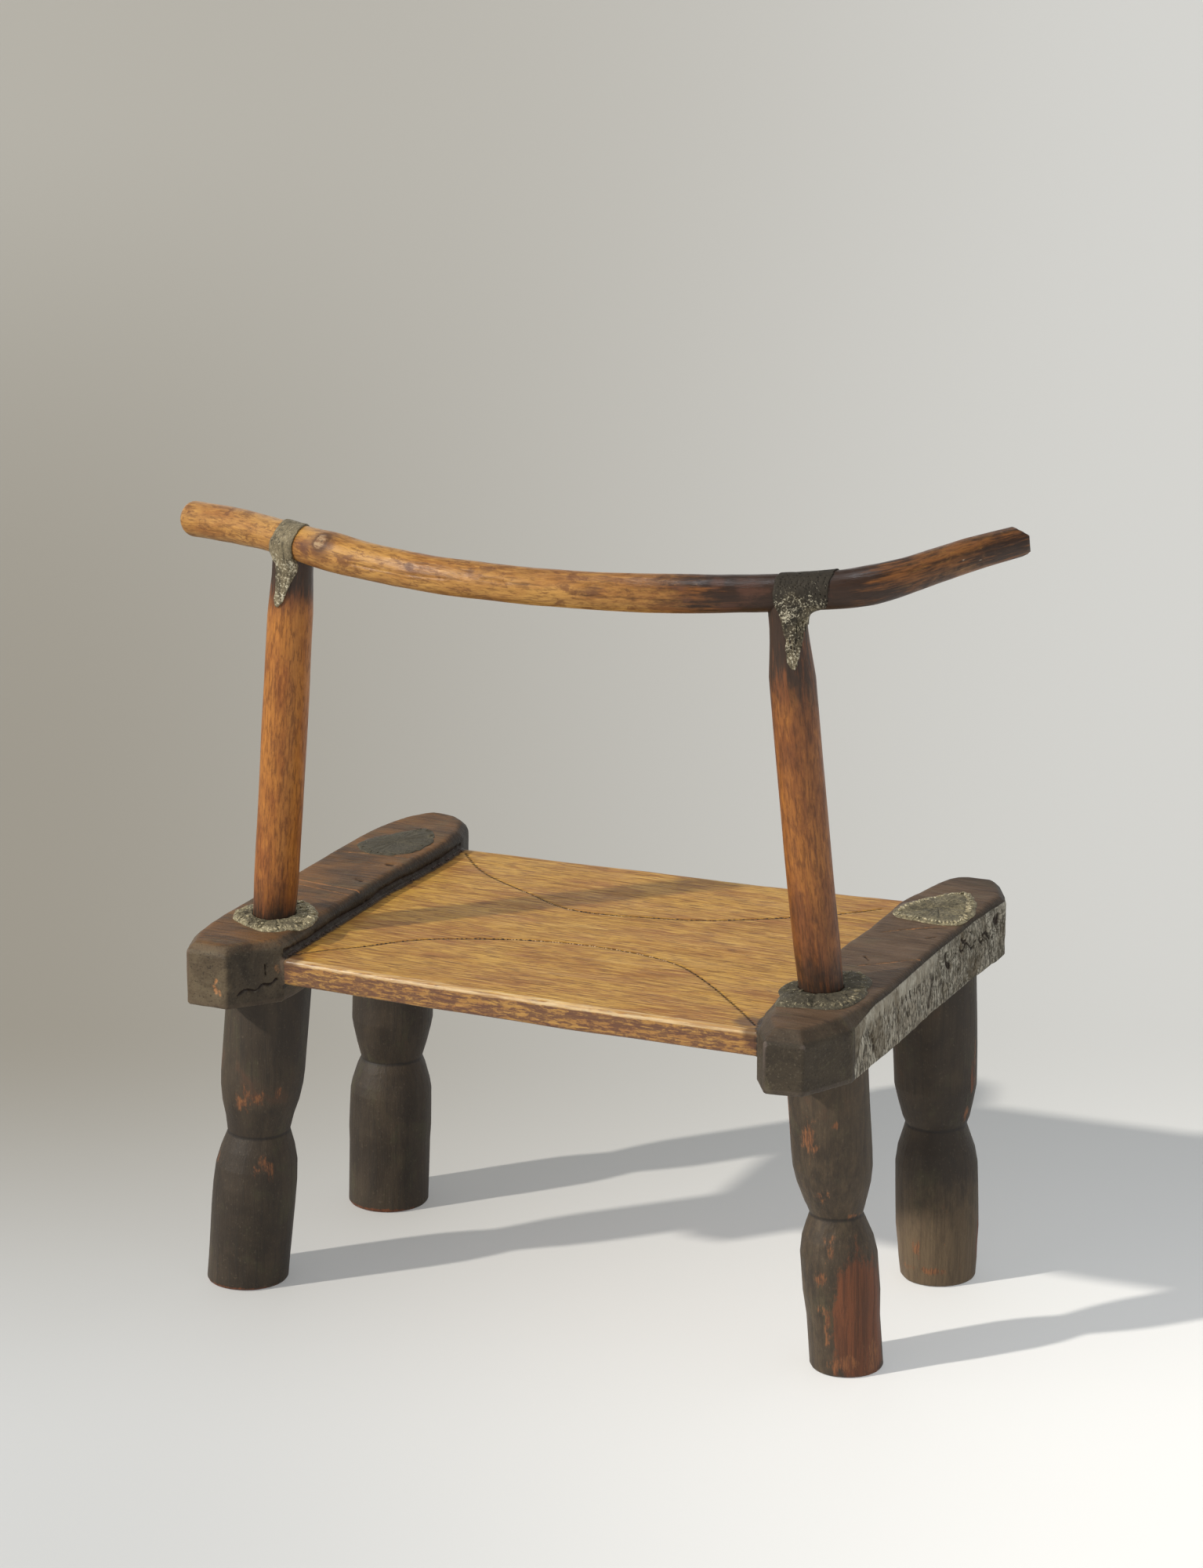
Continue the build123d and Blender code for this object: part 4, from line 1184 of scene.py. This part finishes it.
def post_wood():
    """Reddish polished stick, charred brown at its neck and foot."""
    finish, wood, streak, fine, mottle = rubbed_wood(
        "post_stick", (0.38, 0.150, 0.030), (0.23, 0.074, 0.018), (0.135, 0.047, 0.018),
        (0.038, 0.021, 0.013), (0.160, 0.056, 0.019), 0.35,
    )
    shine = finish.step(mottle, 0.3, 0.7) * 0.15 + 0.30 + fine * 0.12
    normal = finish.bump(streak * 0.6 + fine, 0.0005, 0.6)
    return finish.set(Base_Color=wood, Roughness=shine, Normal=normal)


post_finish = post_wood()
for seed, side in enumerate(("left", "right"), 51):
    stand_for(f"{side}_back_post", "post_wood", post_mesh(side, seed * 2), post_finish)

# ---- crest straps --------------------------------------------------------------------------------
# Saddles of beaten grey metal bent over the crest, with a tongue down the back and the front of each
# post. They were hammered down on the wood, and handling has left shinier spots, painted bright as glints.
strap_thick = {"left": 1.6, "right": 0.9}
strap_outlines = {  # seen from behind: x and z of the metal's edge, crest part and tongue together
    "left": [
        (206, 620), (209.7, 600), (213.3, 590.5), (216.7, 580.5), (212.3, 576.5), (206.7, 572.8),
        (207.6, 558.7), (208.9, 544.3), (208, 540.9), (205.5, 540.3), (200.7, 545.2), (198.2, 552.5),
        (194.9, 559.6), (190.5, 567.6), (190, 573), (191.4, 579.7), (190.6, 589.8), (187.2, 600.6),
        (181, 620),
    ],
    "right": [
        (-180, 620), (-180.1, 595.2), (-181.4, 584.5), (-183.2, 578.5), (-186.2, 571.4), (-188.1, 561.3),
        (-189.4, 550.1), (-191.2, 541.2), (-194.2, 536.3), (-197.8, 535), (-198.9, 539.7), (-200, 546.7),
        (-200.5, 557), (-202.1, 568.5), (-206.7, 574.8), (-211.3, 577.1), (-215.4, 579.3), (-217.9, 586.3),
        (-218.3, 594.1), (-218.4, 620),
    ],
}
strap_lumps = {  # the centre of each driven-up lump, its half width and its height
    "left": [
        ((192, 127, 566), 3.5, 0.9), ((195, 127, 556), 3, 0.9), ((199, 127, 548), 3, 0.8),
        ((193, 126, 574), 3, 0.6), ((212, 124, 575), 4, 0.5),
    ],
    "right": [
        ((-184, 124, 583), 4, 0.9), ((-214, 118, 580), 5, 1.0), ((-196, 125, 578), 6, 0.7),
        ((-208, 121, 586), 5, 0.8), ((-197, 125, 560), 4, 0.9), ((-198, 125, 545), 3.5, 0.9),
        ((-193, 125, 552), 3, 0.6), ((-190, 125, 572), 4, 0.6),
    ],
}


strap_tones = {  # heights, and how pale the skin is there
    "left": ((540,), (0.62,)), "right": ((540, 575, 590, 597), (0.5, 0.42, 0.12, 0.0)),
}
strap_glints = {  # heights, and how strong the painted glints on the skin are there
    "left": ((575, 583), (0.50, 0.28)), "right": ((540, 572, 584, 598), (0.44, 0.46, 0.34, 0.12)),
}


def strap_field(side):
    """Distance to one strap: a beaten sheet over the crest and the post, cut to its outline."""
    base, head = post_axes[side]
    outline = np.array(strap_outlines[side], float)
    branch = crest_line[np.abs(crest_line[:, 0] - head[0]) < 45][::2]
    span, branch_radius = distance_along(branch), crest_radius(branch)

    def field(points):
        gap, along = path_distance(points, branch)
        crest = gap - np.interp(along, span, branch_radius)
        rise = points[:, 2] - base[2]
        across = (points - between(base, head, rise / POST_RISE))[:, :2]
        post = np.hypot(*across.T) - np.interp(rise, *zip(*post_girths[side]))
        post = np.maximum(post, points[:, 2] - head[2])
        dents = 0.35 * bumps(points, (6, 6, 9), 61) + 0.28 * bumps(points, (2.4, 2.4, 4.5), 62)
        dents *= np.interp(points[:, 2], (586, 594), (1, 0.35))
        for at, size, high in strap_lumps[side]:
            dents += high * fall(np.linalg.norm(points - at, axis=1), size)
        sheet = blended(crest, post, 7) - strap_thick[side] - dents
        sheet = np.maximum(sheet, -np.minimum(crest, post) - 0.2)
        cut = plan_distance(points[:, [0, 2]], outline) + 0.5 * bumps(points, (4, 4, 4), 63)
        front = np.maximum(cut, head[2] - 6 - points[:, 2])  # the sheet stops sooner down the front
        cut = np.where(points[:, 1] > head[1] - 4, cut, front)
        return -blended(-sheet, -cut, 0.8)

    return field


def strap_mesh(side):
    """One strap's skin, and the numbers that its finish reads."""
    head = post_axes[side][1]
    outline = strap_outlines[side]
    middle = outline[0][0] * 0.5 + outline[-1][0] * 0.5
    field = strap_field(side)
    room = (middle - 32, middle + 32), (head[1] - 24, head[1] + 24), (528, 612)
    points, faces = skin(field, *(np.arange(low, high, 1.0) for low, high in room))
    points = settle(field, points, faces, 1, 0.15)
    tone, glint = (np.interp(points[:, 2], *table[side]) for table in (strap_tones, strap_glints))
    # painted glints on the driven-up lumps
    for at, size, _ in strap_lumps[side]:
        glint += 0.42 * fall(np.linalg.norm(points - at, axis=1), size * 1.2)
    return points, faces, {"tone": tone, "glint": glint}


def beaten_metal(name, dull, pale, shine):
    """Beaten metal: dull skin to pale skin by a stored number, with rubbed, pitted spots painted bright as
    glints.
    """
    finish = Finish(name, Specular_IOR_Level=0.25)
    tone, glint = finish.stored("tone", "glint")
    pits = finish.noise((620, 620, 620), 4, 0.7, 0.2)
    scratch = finish.noise((420, 420, 60), 4, 0.7, 0.2)
    patch = finish.noise((85, 85, 85), 5, 0.7, 0.4)
    metal = finish.layered(
        dull,
        (tone + (patch - 0.5) * 1.1 + (pits - 0.5) * 0.9, 0.15, 0.85, 1, pale),
        (scratch, 0.50, 0.62, 0.6, toned(dull, 0.45)),
    )
    # painted glints: pale, shinier spots where the glint number, the pits and the patches run high
    bright = finish.step(glint + (pits - 0.5) * 3.2 + (patch - 0.5) * 0.9, 0.60, 1.05)
    return finish.set(
        Base_Color=finish.mix(bright * 0.85, metal, shine), Metallic=bright * 0.6 + 0.08,
        Roughness=0.60 - bright * 0.26 + scratch * 0.1,
        Normal=finish.bump(pits * 0.5 + patch + scratch * 0.4, 0.0010, 0.8),
    )


strap_finish = beaten_metal("strap_metal", (0.030, 0.024, 0.016), (0.225, 0.185, 0.112), (0.62, 0.57, 0.43))
for side in ("left", "right"):
    stand_for(f"{side}_crest_strap", "strap_metal", strap_mesh(side), strap_finish)

# ---- metal leaves --------------------------------------------------------------------------------
# Thin leaves of grey-gold metal beaten down over the four mortises. The rear two are collars round
# the posts' feet, crimped where they were driven against the wood.
leaf_plans = {
    "left_post_collar": [
        (255, 110), (241, 128), (229, 134), (217, 139), (207, 138), (200, 129), (190, 125), (190, 106),
        (196, 86), (205, 73), (215, 65), (224, 64), (240, 76), (251, 90),
    ],
    "right_post_collar": [
        (-195, 149), (-219, 145), (-239, 139), (-247, 114), (-243, 90), (-238, 67), (-226, 57), (-211, 60),
        (-198, 72), (-191, 95), (-191, 129),
    ],
    "front_right_leg_cap": [
        (-201, -81), (-201, -97), (-208, -117), (-218, -133), (-225, -143), (-237, -151), (-248, -136),
        (-255, -116), (-259, -94), (-255, -73), (-242, -70), (-224, -72), (-209, -73),
    ],
    "front_left_leg_cap": [
        (243, -83), (234, -71), (221, -66), (205, -68), (196, -78), (192, -97), (194, -120), (203, -138),
        (211, -143), (220, -131), (229, -115), (238, -102),
    ],
}
leaf_centres = {
    "left_post_collar": (225, 100.5), "right_post_collar": (-212, 100.4),
    "front_right_leg_cap": (-229, -106), "front_left_leg_cap": (217, -102),
}
leaf_forms = {  # thickness, roughness and depth of the crimps
    "left_post_collar": (2.0, 1.5, 1.9), "right_post_collar": (1.6, 1.3, 1.6),
    "front_right_leg_cap": (1.2, 0.35, 0.7), "front_left_leg_cap": (0.8, 0.2, 0.25),
}
leaf_tones = {  # how pale the skin is at the middle and at the rim, and how strong its painted glints are at both
    "left_post_collar": (0.48, 0.62, 0.40, 0.46), "right_post_collar": (0.16, 0.24, 0.26, 0.30),
    "front_right_leg_cap": (0.42, 0.60, 0.12, 0.46), "front_left_leg_cap": (0.14, 0.18, 0.0, 0.05),
}
LEAF_SIDES = 180
LEAF_RINGS = 26
COLLAR_BORE = 16.6


def disc(turn, radius):
    """Points on a level round, or on rounds of several radii."""
    return np.stack([np.cos(turn) * radius, np.sin(turn) * radius, 0 * turn * radius], -1)


def leaf_mesh(name, seed):
    """One beaten leaf, from its middle or bore to its ragged rim, and the numbers for its finish."""
    centre = np.array(leaf_centres[name], float)
    corners = np.array(leaf_plans[name] + leaf_plans[name][:1], float)
    bearing = np.unwrap(np.arctan2(*(corners - centre).T[::-1]))
    reach = np.linalg.norm(corners - centre, axis=1)
    if bearing[-1] < bearing[0]:
        bearing, reach = bearing[::-1], reach[::-1]
    turn = np.linspace(0, 2 * math.pi, LEAF_SIDES, endpoint=False)
    rim = np.interp(turn, bearing, reach, period=2 * math.pi)
    rim = rim + 0.9 * bumps(disc(turn, 20), (2.5, 2.5, 1), seed)
    bore = COLLAR_BORE if "collar" in name else 0.4
    share = np.linspace(0, 1, LEAF_RINGS)[:, None] ** 0.85
    flat = (disc(turn, bore + (rim - bore) * share) + (*centre, 0)).reshape(-1, 3)
    lumps = bumps(flat, (6, 6, 1), seed + 1).reshape(LEAF_RINGS, LEAF_SIDES)
    small = bumps(flat, (2.4, 2.4, 1), seed + 2).reshape(LEAF_RINGS, LEAF_SIDES)
    crimp = 1 - 2.2 * np.abs(bumps(disc(turn, 28), (3, 3, 1), seed + 3))
    crimp = crimp * np.sin(np.clip(share, 0, 1) * math.pi) ** 0.7
    thick, rough, press = leaf_forms[name]
    lift = thick + rough * (0.55 * lumps + 0.35 * small) + press * crimp
    lift = np.clip(lift, 0.3, 3) * np.sqrt(np.clip(1 - share**6, 0, 1)) + 0.05
    bottom = np.concatenate([flat[:LEAF_SIDES], flat[-LEAF_SIDES:]])
    top = flat + np.stack([0 * lift, 0 * lift, RAIL_TOP + lift], -1).reshape(-1, 3)
    bottom = bottom + (0, 0, RAIL_TOP - 0.4)
    index = np.arange(len(top) + len(bottom)).reshape(-1, LEAF_SIDES)
    index = index[[*range(LEAF_RINGS), -1, -2, 0]]  # over the top, down the rim, back below and up the bore
    after = np.roll(index, -1, axis=1)
    faces = np.stack([index[:-1], index[1:], after[1:], after[:-1]], -1).reshape(-1, 4).tolist()
    middle, rim_tone, spark, rim_spark = leaf_tones[name]
    near_rim = np.clip(share * 3 - 1.9, 0, 1) * (0.6 + 0.6 * lumps)
    near_rim = np.concatenate([near_rim.ravel(), np.zeros(LEAF_SIDES), np.ones(LEAF_SIDES)])
    tone = middle + (rim_tone - middle) * near_rim
    glint = spark + (rim_spark - spark) * near_rim
    return np.concatenate([top, bottom]), faces, {"tone": tone, "glint": glint}


leaf_finish = beaten_metal("leaf_metal", (0.070, 0.060, 0.040), (0.30, 0.255, 0.150), (0.72, 0.66, 0.46))
for seed, name in enumerate(leaf_plans, 71):
    stand_for(name, "leaf_metal", leaf_mesh(name, seed * 4), leaf_finish)


def crimp_tree():
    """Short ridges that point in from a rim, each with its own length and lean."""
    growth = Growth(
        "crimps_round_a_rim", Count=60, Middle=(0.0, 0.0, 0.0), Smallest=(0.001, 0.0004, 0.0003),
        Largest=(0.003, 0.0008, 0.0007), Lean=0.01, Share=0.8, Seed=1, Finish=None,
    )
    given = growth.given
    vector = {"data_type": "FLOAT_VECTOR"}
    limits = {0: given["Smallest"], 1: given["Largest"], "Seed": given["Seed"]}
    size = growth.add("FunctionNodeRandomValue", vector, limits)
    limits = {0: (-1, -1, 0), 1: (1, 1, 0), "Seed": given["Seed"]}
    stray = growth.add("FunctionNodeRandomValue", vector, limits)
    stray = growth.add("ShaderNodeVectorMath", {"operation": "SCALE"}, {0: stray, "Scale": given["Lean"]})
    place = growth.add("GeometryNodeInputPosition")
    inward = growth.add("ShaderNodeVectorMath", {"operation": "SUBTRACT"}, {0: given["Middle"], 1: place})
    inward = growth.add("ShaderNodeVectorMath", {"operation": "ADD"}, {0: inward, 1: stray})
    lie = {"axis": "X", "pivot_axis": "Z"}
    turned = growth.add("FunctionNodeAlignRotationToVector", lie, {"Vector": inward})
    return growth.scattered("COUNT", "Count", 2, 9, Rotation=turned, Scale=size)


crimps = crimp_tree()
crimp_finish = beaten_metal("crimped_metal", (0.085, 0.072, 0.047), (0.42, 0.36, 0.22), (0.80, 0.74, 0.54))
crimp_rows = [  # leaf, how far in from the rim, count, smallest, largest, lean, share, height, how pale (it also sets painted glints)
    ("front_right_leg_cap", 4.2, 66, (1.4, 0.5, 0.5), (4.6, 1.3, 1.3), 22, 0.8, 1.1, 0.62),
    ("front_left_leg_cap", 3.4, 54, (1.2, 0.4, 0.3), (2.8, 0.8, 0.6), 22, 0.5, 0.7, 0.02),
    ("left_post_collar", 4.5, 44, (1.6, 0.7, 0.7), (4.2, 1.6, 1.6), 20, 0.8, 1.6, 0.6),
    ("left_post_collar", 9.5, 30, (1.2, 0.7, 0.8), (3.4, 1.5, 1.5), 40, 0.6, 2.2, 0.5),
    ("right_post_collar", 5.0, 46, (1.4, 0.6, 0.6), (5.0, 1.4, 1.6), 20, 0.7, 1.6, 0.36),
    ("right_post_collar", 12.0, 34, (1.2, 0.5, 0.6), (3.8, 1.2, 1.4), 40, 0.5, 2.0, 0.30),
]
for seed, (name, inset_by, count, smallest, largest, lean, share, height, pale) in enumerate(crimp_rows, 5):
    outline = smooth_path(inset(leaf_plans[name], inset_by), 2)
    middle = np.array([*leaf_centres[name], RAIL_TOP])
    row = [(x, y, RAIL_TOP + height) for x, y in outline]
    ridges = grown(
        f"{name}_crimps_{seed}", crimps, row, closed=True, Count=count, Middle=tuple(middle * MM),
        Smallest=tuple(MM * k for k in smallest), Largest=tuple(MM * k for k in largest), Lean=lean * MM,
        Share=share, Seed=seed, Finish=crimp_finish,
    )
    # each row's paleness, with painted glints at four fifths of it
    for key, value in (("tone", pale), ("glint", pale * 0.8)):
        numbers = ridges.data.attributes.new(key, "FLOAT", "POINT").data
        numbers.foreach_set("value", np.full(len(numbers), value, np.float32))
    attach(ridges, "root")
